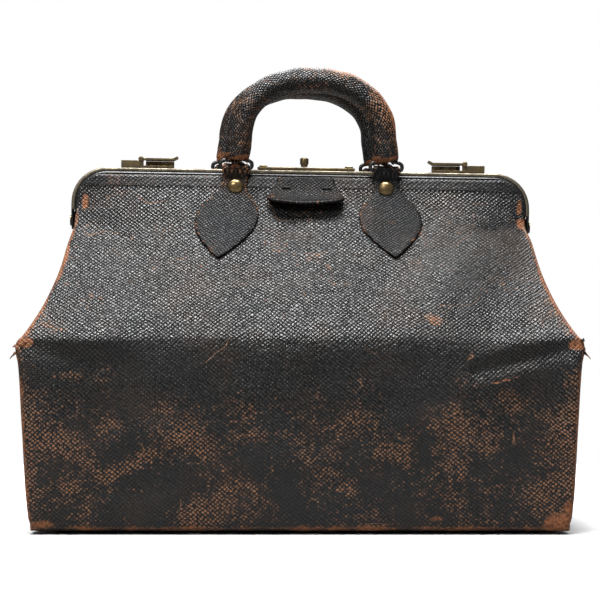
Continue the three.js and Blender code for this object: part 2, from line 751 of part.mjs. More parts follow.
function lockBolt() {
  const bolt = rod('x', KNOB_X - 4, KNOB_X + 5.8, [LOCK_Y, BOLT_Z], STEM_RADIUS, 12);
  const stem = rod('z', BOLT_Z, PLATE_TOP + GAP, [KNOB_X, LOCK_Y], STEM_RADIUS, 12);
  return joined([bolt, stem]);
}

add(frame, 'lock_plate', 'brass', lockPlate());
add(frame, 'lock_case', 'brass', lockCase());
add(frame, 'lock_staple', 'brass', lockStaple());
add(frame, 'lock_bolt', 'brass', lockBolt());
add(frame, 'lock_knob', 'brass', lockKnob()).position.set(KNOB_X, LOCK_Y, PLATE_TOP + 2 * GAP);
for (const [name, way] of [['left', -1], ['right', 1]]) {
  const rivet = add(frame, `${name}_lock_rivet`, 'brass', lockRivet());
  rivet.position.set(LOCK_X + way * LOCK_RIVET_X, LOCK_Y, PLATE_TOP + GAP);
}

export default bag;
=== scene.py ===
"""The looks of an antique black leather doctor bag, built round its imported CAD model.

Lengths are in millimetres in the tables and functions here, and become metres where a mesh is
made. +X is to the bag's right, -Y is its front and +Z is up. The dimensions are the CAD model's.
"""

import json
import math
import random

import bpy
import bmesh
import numpy as np
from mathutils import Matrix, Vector

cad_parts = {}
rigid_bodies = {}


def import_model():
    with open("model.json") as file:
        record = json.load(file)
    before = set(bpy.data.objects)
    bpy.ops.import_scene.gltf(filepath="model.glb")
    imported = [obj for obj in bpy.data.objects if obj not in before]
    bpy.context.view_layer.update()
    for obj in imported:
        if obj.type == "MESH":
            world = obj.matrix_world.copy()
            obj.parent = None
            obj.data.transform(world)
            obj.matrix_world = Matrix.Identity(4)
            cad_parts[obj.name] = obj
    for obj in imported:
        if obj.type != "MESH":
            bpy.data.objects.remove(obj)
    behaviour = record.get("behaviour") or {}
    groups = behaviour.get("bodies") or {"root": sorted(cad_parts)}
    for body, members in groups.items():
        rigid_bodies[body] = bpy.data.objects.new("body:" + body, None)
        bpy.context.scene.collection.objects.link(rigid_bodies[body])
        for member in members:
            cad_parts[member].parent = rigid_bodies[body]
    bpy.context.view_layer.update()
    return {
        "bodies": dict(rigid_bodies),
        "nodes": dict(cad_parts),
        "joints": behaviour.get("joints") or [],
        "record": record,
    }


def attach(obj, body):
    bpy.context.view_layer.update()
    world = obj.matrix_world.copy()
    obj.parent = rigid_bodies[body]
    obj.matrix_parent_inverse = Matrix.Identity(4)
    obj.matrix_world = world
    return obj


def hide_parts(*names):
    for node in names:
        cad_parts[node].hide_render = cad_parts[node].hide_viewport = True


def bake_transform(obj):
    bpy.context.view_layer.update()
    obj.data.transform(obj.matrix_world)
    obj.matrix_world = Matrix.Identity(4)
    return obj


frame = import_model()

# ---- driving dimensions --------------------------------------------------------------------

MM = 0.001
LEATHER = 2.2
TAB_LEATHER = 2.0

# The leather at the middle of the front: height, distance from the middle plane.
MIDDLE_PROFILE = [
    (8, 98.4),
    (12, 99),
    (45, 100),
    (80, 101),
    (112, 103),
    (132, 104.2),
    (143, 102.8),
    (152, 98.5),
    (172, 84),
    (195, 62),
    (216, 43.5),
    (224, 36.8),
    (245, 22),
    (261, 13.6),
    (266.5, 12),
]
# The same beside the end seams, where the leather is drawn in to the hinges.
END_PROFILE = [
    (8, 98.4),
    (80, 101.5),
    (132, 104),
    (141, 103.6),
    (152, 95.5),
    (172, 76),
    (195, 52),
    (216, 29),
    (231, 14.5),
    (245, 11),
    (266.5, 11),
]
# Half the length of the body: height, half length.
LENGTH_PROFILE = [
    (8, 198.2),
    (12, 199.5),
    (80, 204),
    (125, 206.5),
    (136, 208.5),
    (141, 208),
    (146, 203.5),
    (152, 199.5),
    (172, 189),
    (195, 181),
    (216, 176.5),
    (231, 172.5),
    (245, 172),
]
END_POWER = 4
BASE_Z = 2.6
BASE_RADIUS = 5
TURN_UNDER = 9
CORNER_RADIUS = 4
FLAP = 9  # of panel leather sewn over each end gusset
GUSSET_FOLD = 30
EAR_HEIGHT = 141
GUSSET_TOP = 235

SETTLE = math.radians(0.95)
PIVOT_Z = 231
SETTLE_FROM = 216
SETTLE_TO = 245

FRAME_TOP = 272
FRAME_HALF_LENGTH = 176
FRAME_CORNER = 27
LEG_END = 239.5
EAR_RADIUS = 7
EAR_THICK = 1.7
LEATHER_CORNER = 23
LEATHER_TOP = 266.5

HANDLE_X = {"front": 7.8, "rear": 1}
RING_Y = 15
RING_Z = 272.6
LEG_X = 57.5
HOOP_X = 55.5
HOOP_Z = 296
HOOP_RISE = {"front": 45, "rear": 43}
HOOP_POWER = 2.2
GRIP_RADIUS = 10
GRIP_END = 279
WIRE = 3

LEAF = [
    (265, 9.3),
    (258, 9.4),
    (252, 12.5),
    (246, 18),
    (240, 22),
    (233, 23.3),
    (226, 21.8),
    (219, 17.4),
    (213, 11.8),
    (207.5, 5.8),
    (203.4, 0.7),
]
LEAF_LEAN = {
    "front_left": -0.19,
    "front_right": 0.11,
    "rear_left": -0.13,
    "rear_right": 0.13,
}
LOOP_RADIUS = 3.5
RIVET_Z = 258.2

BASE_HALF_LENGTH = 193.4
BASE_HALF_DEPTH = 94.8
LINING_FLOOR = 10.7
LINING_TOP = 195
LINING_SIDES = 240  # points round the lining
PANEL_SPACING = 2.0  # between the panels' rows of points
PANEL_COLUMNS = 213
GUSSET_ROWS = 110
GUSSET_COLUMNS = 40
FLOOR_RADIUS = 760

SIDES = {"front": -1, "rear": 1}
ENDS = {"left": -1, "right": 1}


# ---- small helpers ---------------------------------------------------------------------------


def smoothstep(low, high, x):
    t = np.clip((np.asarray(x, float) - low) / (high - low), 0, 1)
    return t * t * (3 - 2 * t)


def curve_through(rows):
    """A smooth function through (position, value) rows, with no overshoot between them."""
    x, y = np.array(sorted(rows), float).T
    step = np.diff(x)
    slope = np.diff(y) / step
    tangent = np.zeros_like(y)
    tangent[0], tangent[-1] = slope[0], slope[-1]
    for i in range(1, len(x) - 1):
        if slope[i - 1] * slope[i] > 0:
            w1 = 2 * step[i] + step[i - 1]
            w2 = step[i] + 2 * step[i - 1]
            tangent[i] = (w1 + w2) / (w1 / slope[i - 1] + w2 / slope[i])

    def value(at):
        at = np.clip(np.asarray(at, float), x[0], x[-1])
        i = np.clip(np.searchsorted(x, at, side="right") - 1, 0, len(x) - 2)
        h = step[i]
        t = (at - x[i]) / h
        return (
            (2 * t**3 - 3 * t**2 + 1) * y[i]
            + (t**3 - 2 * t**2 + t) * h * tangent[i]
            + (3 * t**2 - 2 * t**3) * y[i + 1]
            + (t**3 - t**2) * h * tangent[i + 1]
        )

    return value


def waves(seed, count, shortest, longest):
    """A smooth random function of two lengths, about -1 to 1."""
    rng = random.Random(seed)
    parts = []
    for _ in range(count):
        length = rng.uniform(shortest, longest)
        angle = rng.uniform(0, math.pi)
        turn = 2 * math.pi / length
        parts.append((turn * math.cos(angle), turn * math.sin(angle), rng.uniform(0, 6.28)))

    def value(a, b):
        total = sum(np.sin(ka * a + kb * b + phase) for ka, kb, phase in parts)
        return total / math.sqrt(count)

    return value


def turned_with_frame(points, share=1.0):
    """Points turned about the hinge axis's middle as the frame has settled, by a share of it."""
    points = np.array(points, float)
    angle = SETTLE * np.asarray(share)
    x, z = points[..., 0].copy(), points[..., 2] - PIVOT_Z
    points[..., 0] = x * np.cos(angle) + z * np.sin(angle)
    points[..., 2] = PIVOT_Z - x * np.sin(angle) + z * np.cos(angle)
    return points


def draped(points):
    """Leather points, which follow the settled frame at the top and the base at the bottom."""
    points = np.array(points, float)
    return turned_with_frame(points, smoothstep(SETTLE_FROM, SETTLE_TO, points[..., 2]))


def path_lengths(points):
    """The distance along a path at each of its points."""
    steps = np.linalg.norm(np.diff(np.asarray(points, float), axis=0), axis=1)
    return np.concatenate([[0], np.cumsum(steps)])


def evenly(points, spacing):
    """Points about that far apart along a path."""
    points = np.asarray(points, float)
    along = path_lengths(points)
    count = max(2, int(round(along[-1] / spacing)) + 1)
    at = np.linspace(0, along[-1], count)
    return np.stack([np.interp(at, along, points[:, k]) for k in range(points.shape[1])], 1)


def unit(vectors):
    vectors = np.asarray(vectors, float)
    size = np.linalg.norm(vectors, axis=-1, keepdims=True)
    return vectors / np.maximum(size, 1e-9)


# ---- meshes ----------------------------------------------------------------------------------


def mesh_object(name, points, faces, materials, indices=None, smooth=True):
    mesh = bpy.data.meshes.new(name)
    mesh.from_pydata((np.asarray(points, float) * MM).tolist(), [], faces)
    for material in materials:
        mesh.materials.append(material)
    if indices is not None:
        mesh.polygons.foreach_set("material_index", indices)
    mesh.polygons.foreach_set("use_smooth", [smooth] * len(mesh.polygons))
    mesh.validate()
    mesh.update()
    thing = bpy.data.objects.new(name, mesh)
    bpy.context.scene.collection.objects.link(thing)
    return thing


def outwards(thing):
    """Turns the faces of closed shapes outwards."""
    shape = bmesh.new()
    shape.from_mesh(thing.data)
    bmesh.ops.recalc_face_normals(shape, faces=shape.faces)
    shape.to_mesh(thing.data)
    shape.free()
    return thing


def paint(thing, **values):
    """Writes per-point values that the leather materials read."""
    for name, value in values.items():
        value = np.asarray(value, np.float32)
        if value.ndim == 2:
            layer = thing.data.attributes.new(name, "FLOAT_VECTOR", "POINT")
            layer.data.foreach_set("vector", value.ravel())
        else:
            layer = thing.data.attributes.new(name, "FLOAT", "POINT")
            layer.data.foreach_set("value", value)
    return thing


def border(rows, columns):
    """The indices round the edge of a grid of points, in order."""
    last = (rows - 1) * columns
    ring = list(range(columns))
    ring += [r * columns + columns - 1 for r in range(1, rows)]
    ring += [last + c for c in range(columns - 2, -1, -1)]
    ring += [r * columns for r in range(rows - 2, 0, -1)]
    return ring


def sheet(name, grid, thickness, materials, outside, values=None, raw_edge=0.55):
    """A sheet with a rounded edge, of an even thickness behind a grid of points.

    materials are for its outside and edge, and for its inside where there is a second one.
    raw_edge is the least value of raw round the edge.
    """
    rows, columns = grid.shape[:2]
    along, across = np.gradient(grid, axis=0), np.gradient(grid, axis=1)
    normals = unit(np.cross(along, across))
    if (normals * np.asarray(outside, float)).sum() < 0:
        normals = -normals
    front = grid.reshape(-1, 3)
    back = (grid - normals * thickness).reshape(-1, 3)
    ring = border(rows, columns)
    inner = []
    for index in ring:
        r, c = divmod(index, columns)
        r = min(max(r, 1), rows - 2)
        c = min(max(c, 1), columns - 2)
        inner.append(r * columns + c)
    away = unit(front[ring] - front[inner])
    bulge = (front[ring] + back[ring]) / 2 + away * thickness * 0.35
    points = np.concatenate([front, back, bulge])
    count = rows * columns
    faces, indices = [], []
    for r in range(rows - 1):
        for c in range(columns - 1):
            a = r * columns + c
            quad = [a, a + 1, a + columns + 1, a + columns]
            faces.append(quad)
            faces.append([count + i for i in reversed(quad)])
            indices += [0, len(materials) - 1]
    for k, a in enumerate(ring):
        b = ring[(k + 1) % len(ring)]
        m, n = 2 * count + k, 2 * count + (k + 1) % len(ring)
        faces += [[a, b, n, m], [m, n, count + b, count + a]]
        indices += [0, 0]
    thing = outwards(mesh_object(name, points, faces, materials, indices))
    for key, value in (values or {}).items():
        flat = np.asarray(value, float).reshape(count, -1)
        stacked = np.concatenate([flat, flat, flat[ring]])
        if key == "raw":
            stacked[2 * count :] = np.maximum(stacked[2 * count :], raw_edge)
        paint(thing, **{key: stacked if stacked.shape[1] == 3 else stacked[:, 0]})
    return thing


def loft(name, rings, materials, closed=False, indices=None, smooth=True):
    """A tube through rings of points. Its ends are capped, unless it closes on itself."""
    rings = np.asarray(rings, float)
    count, sides = rings.shape[:2]
    faces, chosen = [], []
    for r in range(count if closed else count - 1):
        s = (r + 1) % count
        for k in range(sides):
            n = (k + 1) % sides
            faces.append([r * sides + k, r * sides + n, s * sides + n, s * sides + k])
            chosen.append(indices[k] if indices else 0)
    if not closed:
        faces.append(list(range(sides)))
        faces.append(list(range((count - 1) * sides, count * sides)))
        chosen += [0, 0]
    points = rings.reshape(-1, 3)
    return outwards(mesh_object(name, points, faces, materials, chosen, smooth))


def tube(name, points, radius, materials, closed=False, sides=12):
    """A round tube along a path."""
    points = np.asarray(points, float)
    count = len(points)
    if closed:
        tangents = unit(np.roll(points, -1, 0) - np.roll(points, 1, 0))
    else:
        tangents = unit(np.gradient(points, axis=0))
    normal = unit(np.cross(tangents[0], [0.31, 0.87, 0.39]))
    rings = []
    for i in range(count):
        normal = unit(normal - tangents[i] * (normal @ tangents[i]))
        other = np.cross(tangents[i], normal)
        turn = np.linspace(0, 2 * math.pi, sides, endpoint=False)[:, None]
        rings.append(points[i] + radius * (np.cos(turn) * normal + np.sin(turn) * other))
    return loft(name, rings, materials, closed)


def softened(node, bevel, material):
    """A CAD node's shape with rounded edges, standing for that node."""
    source = frame["nodes"][node]
    mesh = source.data.copy()
    mesh.transform(source.matrix_world)
    mesh.materials.clear()
    mesh.materials.append(material)
    thing = bpy.data.objects.new(f"{node}_finished", mesh)
    bpy.context.scene.collection.objects.link(thing)
    shape = bmesh.new()
    shape.from_mesh(mesh)
    bmesh.ops.remove_doubles(shape, verts=shape.verts, dist=1e-6)
    flat = math.radians(1)
    bmesh.ops.dissolve_limit(shape, angle_limit=flat, verts=shape.verts, edges=shape.edges)
    bmesh.ops.recalc_face_normals(shape, faces=shape.faces)
    shape.to_mesh(mesh)
    shape.free()
    rounded = thing.modifiers.new("edges", "BEVEL")
    rounded.width = bevel * MM
    rounded.segments = 2
    rounded.limit_method = "ANGLE"
    rounded.angle_limit = math.radians(35)
    rounded.harden_normals = False
    mesh.polygons.foreach_set("use_smooth", [True] * len(mesh.polygons))
    mesh.set_sharp_from_angle(angle=math.radians(50))
    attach(thing, frame["record_body"][node])
    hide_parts(node)
    return thing


def bend_between(thing):
    """Bakes the leather's placement into its mesh."""
    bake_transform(thing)


def bodies_of_nodes():
    """The CAD body that each node rides on."""
    bodies = frame["record"]["behaviour"]["bodies"]
    return {node: body for body, nodes in bodies.items() for node in nodes}


frame["record_body"] = bodies_of_nodes()


# ---- materials -------------------------------------------------------------------------------


class Graph:
    """A material whose nodes are added by short calls."""

    def __init__(self, name):
        self.material = bpy.data.materials.new(name)
        self.material.use_nodes = True
        self.tree = self.material.node_tree
        self.tree.nodes.clear()
        self.shader = self.tree.nodes.new("ShaderNodeBsdfPrincipled")
        output = self.tree.nodes.new("ShaderNodeOutputMaterial")
        self.tree.links.new(self.shader.outputs[0], output.inputs[0])

    def put(self, socket, value):
        """Links a socket to another node's output, or sets it to a plain value."""
        if isinstance(value, bpy.types.NodeSocket):
            self.tree.links.new(value, socket)
        elif socket.type == "RGBA" and len(value) == 3:
            socket.default_value = (*value, 1)
        else:
            socket.default_value = value
        return socket

    def surface(self, **values):
        for name, value in values.items():
            self.put(self.shader.inputs[name.replace("_", " ").title()], value)

    def attribute(self, name, output="Fac"):
        node = self.tree.nodes.new("ShaderNodeAttribute")
        node.attribute_name = name
        return node.outputs[output]

    def position(self):
        return self.tree.nodes.new("ShaderNodeTexCoord").outputs["Object"]

    def math(self, operation, a, b=0.0, c=0.0, clamp=False):
        node = self.tree.nodes.new("ShaderNodeMath")
        node.operation = operation
        node.use_clamp = clamp
        for socket, value in zip(node.inputs, (a, b, c)):
            self.put(socket, value)
        return node.outputs[0]

    def vector(self, operation, a, b=(0, 0, 0), scale=1.0):
        node = self.tree.nodes.new("ShaderNodeVectorMath")
        node.operation = operation
        self.put(node.inputs[0], a)
        if operation == "SCALE":
            self.put(node.inputs["Scale"], scale)
        else:
            self.put(node.inputs[1], b)
        return node.outputs["Value" if operation == "DOT_PRODUCT" else "Vector"]

    def noise(self, vector, scale, detail=2.0, roughness=0.5, output="Fac"):
        node = self.tree.nodes.new("ShaderNodeTexNoise")
        self.put(node.inputs["Vector"], vector)
        node.inputs["Scale"].default_value = scale
        node.inputs["Detail"].default_value = detail
        node.inputs["Roughness"].default_value = roughness
        return node.outputs[output]

    def ramp(self, value, low, high, out_low=0.0, out_high=1.0):
        """A smooth step from out_low to out_high as value goes from low to high."""
        node = self.tree.nodes.new("ShaderNodeMapRange")
        node.interpolation_type = "SMOOTHSTEP"
        for socket, given in zip(node.inputs, (value, low, high, out_low, out_high)):
            self.put(socket, given)
        return node.outputs[0]

    def mix(self, share, a, b):
        """A colour that goes from a to b as share goes from 0 to 1."""
        node = self.tree.nodes.new("ShaderNodeMix")
        node.data_type = "RGBA"
        self.put(node.inputs["Factor"], share)
        self.put(node.inputs[6], a)
        self.put(node.inputs[7], b)
        return node.outputs[2]

    def mix_values(self, share, a, b):
        """The same between two plain values."""
        node = self.tree.nodes.new("ShaderNodeMix")
        for socket, value in zip(node.inputs[:1] + node.inputs[2:4], (share, a, b)):
            self.put(socket, value)
        return node.outputs[0]

    def bump(self, height, distance, strength=1.0, under=None):
        node = self.tree.nodes.new("ShaderNodeBump")
        node.inputs["Distance"].default_value = distance
        self.put(node.inputs["Strength"], strength)
        self.put(node.inputs["Height"], height)
        if under is not None:
            self.put(node.inputs["Normal"], under)
        return node.outputs[0]


BLACK_LEATHER = (0.0060, 0.0055, 0.0052)
BLUE_BLACK = (0.0085, 0.0090, 0.0100)
BROWN_BLACK = (0.0300, 0.0180, 0.0115)
WORN_TOPS = (0.300, 0.140, 0.066)
RAW_LEATHER = (0.330, 0.120, 0.044)
RAW_DARK = (0.095, 0.038, 0.019)


def leather(name, pitch, depth, gloss=0.36, scratches=1.0, shine=0.5):
    """Black grained leather that wears to brown on its grain and to raw orange at its edges.

    It reads, at each point: cloth, the place on the flat hide in metres; wear, raw and flat,
    from 0 to 1, for grain tops rubbed brown, finish lost, and grain pressed smooth.
    """
    g = Graph(name)
    hide = g.attribute("cloth", "Vector")
    wear = g.attribute("wear")
    raw = g.attribute("raw")
    flat = g.attribute("flat")

    # The grain: rhombic pebbles in two crossing rows, drawn out of true by slow noise.
    slow = g.vector("SUBTRACT", g.noise(hide, 22, 2, output="Color"), (0.5, 0.5, 0.5))
    quick = g.vector("SUBTRACT", g.noise(hide, 170, 1, output="Color"), (0.5, 0.5, 0.5))
    bent = g.vector("ADD", hide, g.vector("SCALE", slow, scale=0.007))
    bent = g.vector("ADD", bent, g.vector("SCALE", quick, scale=0.0019))
    turn = math.pi / (pitch * MM)
    rows = []
    for slope in (0.78, -0.9):
        length = math.hypot(1, slope)
        direction = (turn * slope / length, turn / length, 0)
        wave = g.math("SINE", g.vector("DOT_PRODUCT", bent, direction))
        rows.append(g.math("ABSOLUTE", wave))
    pebble = g.math("POWER", g.math("MULTIPLY", rows[0], rows[1]), 0.5)
    uneven = g.noise(hide, 420, 2, 0.6)
    pebble = g.math("MULTIPLY", pebble, g.ramp(uneven, 0.3, 0.65, 0.5, 1.0))
    tops = g.ramp(pebble, 0.42, 0.78)

    # Where the tops are rubbed: patches of their own, more of them where wear is high.
    broad = g.noise(hide, 30, 4, 0.68)
    fine = g.noise(hide, 700, 2, 0.7)
    patch = g.math("ADD", g.math("MULTIPLY", broad, 0.8), g.math("MULTIPLY", fine, 0.25))
    spots = g.noise(hide, 260, 3, 0.7)
    patch = g.math("ADD", patch, g.math("MULTIPLY", g.math("SUBTRACT", spots, 0.5), 0.7))
    limit = g.ramp(wear, 0.0, 1.0, 0.72, 0.36)
    rubbed = g.ramp(g.math("SUBTRACT", patch, limit), -0.02, 0.16)
    brown = g.math("MULTIPLY", rubbed, g.ramp(tops, 0.1, 0.8))

    # Thin scratches: where slow noise crosses its middle value, in places only.
    line = g.math("ABSOLUTE", g.math("SUBTRACT", g.noise(hide, 16, 1.5, 0.4), 0.5))
    scratch = g.ramp(line, 0.0025, 0.0006)
    where = g.ramp(g.noise(hide, 27, 1), 0.56, 0.64)
    scratch = g.math("MULTIPLY", g.math("MULTIPLY", scratch, where), scratches)
    scratch = g.math("MULTIPLY", scratch, g.ramp(fine, 0.35, 0.6))

    # Raw edges, broken up by noise.
    ragged = g.math("ADD", raw, g.math("MULTIPLY", g.math("SUBTRACT", broad, 0.5), 0.9))
    ragged = g.math("ADD", ragged, g.math("MULTIPLY", g.math("SUBTRACT", fine, 0.5), 0.5))
    bare = g.ramp(ragged, 0.42, 0.66)
    bare = g.math("MULTIPLY", bare, g.ramp(raw, 0.02, 0.2))

    tint = g.noise(hide, 14, 3, 0.6)
    colour = g.mix(g.ramp(tint, 0.35, 0.62), BLUE_BLACK, BLACK_LEATHER)
    colour = g.mix(g.ramp(g.noise(hide, 20, 3, 0.6), 0.45, 0.75, 0, 0.6), colour, BROWN_BLACK)
    colour = g.mix(g.math("MULTIPLY", flat, 0.5), colour, BLUE_BLACK)
    colour = g.mix(g.math("MULTIPLY", brown, 0.9), colour, WORN_TOPS)
    colour = g.mix(g.math("MULTIPLY", scratch, 0.8), colour, WORN_TOPS)
    hide_colour = g.mix(g.ramp(uneven, 0.3, 0.7), RAW_DARK, RAW_LEATHER)
    colour = g.mix(bare, colour, hide_colour)

    lost = g.math("MAXIMUM", brown, bare)
    matt = g.ramp(g.noise(hide, 120, 2), 0.3, 0.7, gloss - 0.05, gloss + 0.08)
    rough = g.math("ADD", matt, g.math("MULTIPLY", lost, 0.3))
    rough = g.math("ADD", rough, g.math("MULTIPLY", flat, 0.14))

    strength = g.ramp(flat, 0.0, 1.0, 1.0, 0.3)
    relief = g.bump(pebble, depth * MM, strength)
    nap = g.math("ADD", g.math("MULTIPLY", fine, 0.4), g.math("MULTIPLY", bare, -0.8))
    nap = g.math("ADD", nap, g.math("MULTIPLY", scratch, -1.0))
    relief = g.bump(nap, 0.00022, 0.8, relief)
    g.surface(base_color=colour, roughness=rough, normal=relief)
    # The pebbles' tops shine and the grooves between them don't.
    gleam = g.ramp(pebble, 0.2, 0.75, shine * 0.3, shine * 1.2)
    g.put(g.shader.inputs["Specular IOR Level"], g.mix_values(flat, gleam, shine * 0.8))
    return g.material


def metal(name, bright, dull, dark, roughness):
    """Old metal, tarnished in patches and flecked with dark specks."""
    g = Graph(name)
    place = g.position()
    cloud = g.noise(place, 160, 4, 0.65)
    speck = g.noise(place, 900, 3, 0.7)
    colour = g.mix(g.ramp(cloud, 0.38, 0.62), bright, dull)
    colour = g.mix(g.ramp(speck, 0.55, 0.72), colour, dark)
    rough = g.ramp(cloud, 0.3, 0.7, roughness - 0.08, roughness + 0.18)
    height = g.math("ADD", g.math("MULTIPLY", speck, 0.5), cloud)
    g.surface(base_color=colour, roughness=rough, normal=g.bump(height, 0.00012, 0.5))
    g.shader.inputs["Metallic"].default_value = 0.92
    return g.material


def painted_steel(name):
    """Black enamel on steel, chipped to a dull brown here and there."""
    g = Graph(name)
    place = g.position()
    cloud = g.noise(place, 220, 4, 0.7)
    chip = g.ramp(cloud, 0.6, 0.68)
    colour = g.mix(chip, (0.010, 0.010, 0.011), (0.085, 0.060, 0.038))
    rough = g.ramp(g.noise(place, 500, 2), 0.3, 0.7, 0.26, 0.42)
    height = g.math("SUBTRACT", g.math("MULTIPLY", cloud, 0.3), chip)
    g.surface(base_color=colour, roughness=rough, normal=g.bump(height, 0.00012, 0.6))
    return g.material


def raw_fibre(name):
    """The torn suede side of leather."""
    g = Graph(name)
    place = g.position()
    fibre = g.noise(place, 1300, 4, 0.75)
    cloud = g.noise(place, 180, 3, 0.6)
    colour = g.mix(g.ramp(fibre, 0.3, 0.7), (0.105, 0.042, 0.020), (0.360, 0.140, 0.055))
    colour = g.mix(g.ramp(cloud, 0.42, 0.62), colour, (0.022, 0.014, 0.011))
    g.surface(base_color=colour, normal=g.bump(fibre, 0.0006, 0.9))
    g.shader.inputs["Roughness"].default_value = 0.85
    return g.material


def board(name):
    """Grey-brown layered fibre board."""
    g = Graph(name)
    place = g.position()
    stretched = g.vector("MULTIPLY", place, (1, 1, 6))
    layer = g.noise(stretched, 400, 3, 0.6)
    colour = g.mix(g.ramp(layer, 0.3, 0.7), (0.105, 0.088, 0.068), (0.270, 0.240, 0.200))
    g.surface(base_color=colour, normal=g.bump(layer, 0.0004, 0.7))
    g.shader.inputs["Roughness"].default_value = 0.9
    return g.material


def twill(name):
    """Worn tan cotton twill."""
    g = Graph(name)
    place = g.position()
    diagonal = g.vector("DOT_PRODUCT", place, (2600, 2600, 2600))
    thread = g.vector("DOT_PRODUCT", place, (3900, -3900, 1300))
    rib = g.math("MULTIPLY_ADD", g.math("SINE", diagonal), 0.5, 0.5)
    cross = g.math("MULTIPLY_ADD", g.math("SINE", thread), 0.5, 0.5)
    height = g.math("MULTIPLY", rib, g.math("ADD", g.math("MULTIPLY", cross, 0.4), 0.6))
    stain = g.noise(place, 24, 4, 0.6)
    colour = g.mix(g.ramp(stain, 0.35, 0.7), (0.200, 0.150, 0.095), (0.120, 0.082, 0.050))
    colour = g.mix(g.math("MULTIPLY", height, 0.35), colour, (0.300, 0.235, 0.160))
    g.surface(base_color=colour, normal=g.bump(height, 0.0002, 0.6))
    g.shader.inputs["Roughness"].default_value = 0.88
    g.shader.inputs["Sheen Weight"].default_value = 0.15
    return g.material


def thread_finish(name):
    """Waxed black sewing thread, twisted."""
    g = Graph(name)
    place = g.position()
    ply = g.math("SINE", g.vector("DOT_PRODUCT", place, (7000, 4000, 7000)))
    speck = g.noise(place, 1500, 2)
    colour = g.mix(g.ramp(speck, 0.4, 0.7), (0.014, 0.013, 0.012), (0.060, 0.046, 0.034))
    g.surface(base_color=colour, normal=g.bump(ply, 0.00015, 0.6))
    g.shader.inputs["Roughness"].default_value = 0.55
    return g.material


BODY = leather("grained_leather", 2.4, 0.55, 0.29)
TABS = leather("tab_leather", 2.1, 0.5, 0.36, 0.5, 0.22)
GRIP = leather("handle_leather", 2.1, 0.5, 0.24, 0.8, 0.45)
FIBRE = raw_fibre("torn_leather")
BRASS = metal("aged_brass", (0.34, 0.25, 0.12), (0.13, 0.10, 0.06), (0.04, 0.032, 0.022), 0.36)
DOME_BRASS = metal("rivet_brass", (0.32, 0.22, 0.10), (0.18, 0.125, 0.07), (0.06, 0.045, 0.028), 0.30)
FRAME_BRASS = metal("frame_edge", (0.30, 0.26, 0.19), (0.15, 0.13, 0.10), (0.05, 0.042, 0.03), 0.40)
STEEL = painted_steel("black_steel")
BOARD = board("fibre_board")
LINING = twill("lining_twill")
THREAD = thread_finish("black_thread")


# ---- the body's leather ----------------------------------------------------------------------

middle_depth = curve_through(MIDDLE_PROFILE)
end_depth = curve_through(END_PROFILE)
body_length = curve_through(LENGTH_PROFILE)
slow_swell = waves(3, 9, 70, 170)
small_dents = waves(11, 14, 24, 60)


def half_length(z):
    """Half the leather's length, which follows the inside of the frame's corners at the top."""
    z = np.asarray(z, float)
    above = np.clip(z - (FRAME_TOP - FRAME_CORNER), 0, LEATHER_CORNER - 0.5)
    corner = FRAME_HALF_LENGTH - FRAME_CORNER + np.sqrt(LEATHER_CORNER**2 - above**2)
    return np.where(z > FRAME_TOP - FRAME_CORNER, corner, body_length(z))


def near_line(x, z, start, end, width):
    """1 on a line between two places on the front, falling away over a width."""
    a, b = np.array(start, float), np.array(end, float)
    d = b - a
    t = np.clip(((x - a[0]) * d[0] + (z - a[1]) * d[1]) / (d @ d), 0, 1)
    away = np.hypot(x - a[0] - t * d[0], z - a[1] - t * d[1])
    return np.exp(-((away / width) ** 2))


# Folds in the soft leather: start, end (distance from the middle, height), width, depth.
FOLDS = {
    "front": [
        ((205, 141), (128, 119), 7, 2.6),
        ((205, 146), (150, 138), 9, -2.2),
        ((-206, 141), (-150, 128), 8, 2.4),
        ((-204, 148), (-140, 144), 10, -2.0),
        ((-172, 236), (-120, 208), 10, 1.5),
        ((172, 232), (110, 214), 10, 1.8),
        ((-34, 96), (-37, 66), 3, 0.8),
    ],
    "rear": [
        ((205, 141), (140, 126), 8, 2.4),
        ((-206, 141), (-138, 122), 8, 2.6),
        ((-204, 147), (-150, 141), 9, -2.0),
        ((170, 234), (112, 210), 10, 1.6),
        ((60, 140), (10, 128), 12, 1.6),
    ],
}


def depth_at(end, x, z):
    """The distance of the leather's outside from the middle plane."""
    x, z = np.asarray(x, float), np.asarray(z, float)
    share = np.clip(np.abs(x) / half_length(z), 0, 1) ** END_POWER
    depth = middle_depth(z) * (1 - share) + end_depth(z) * share
    soft = smoothstep(60, 150, z) * (1 - smoothstep(225, 250, z))
    stiff = smoothstep(8, 30, z) * (1 - smoothstep(225, 255, z))
    shift = 0 if end == "front" else 400
    depth += 1.7 * soft * slow_swell(x + shift, z)
    depth += 0.35 * stiff * small_dents(x + shift, z)
    for start, stop, width, deep in FOLDS[end]:
        depth -= deep * near_line(x, z, start, stop, width)
    # The hem along the frame is a doubled edge.
    depth += 0.5 * smoothstep(257.5, 259, z)
    return depth


def patch(x, z, at, size, tilt=0):
    """1 in the middle of an oval place, falling to 0 outside it."""
    angle = math.radians(tilt)
    dx, dz = x - at[0], z - at[1]
    a = (dx * math.cos(angle) + dz * math.sin(angle)) / size[0]
    b = (dz * math.cos(angle) - dx * math.sin(angle)) / size[1]
    return np.exp(-(a * a + b * b))


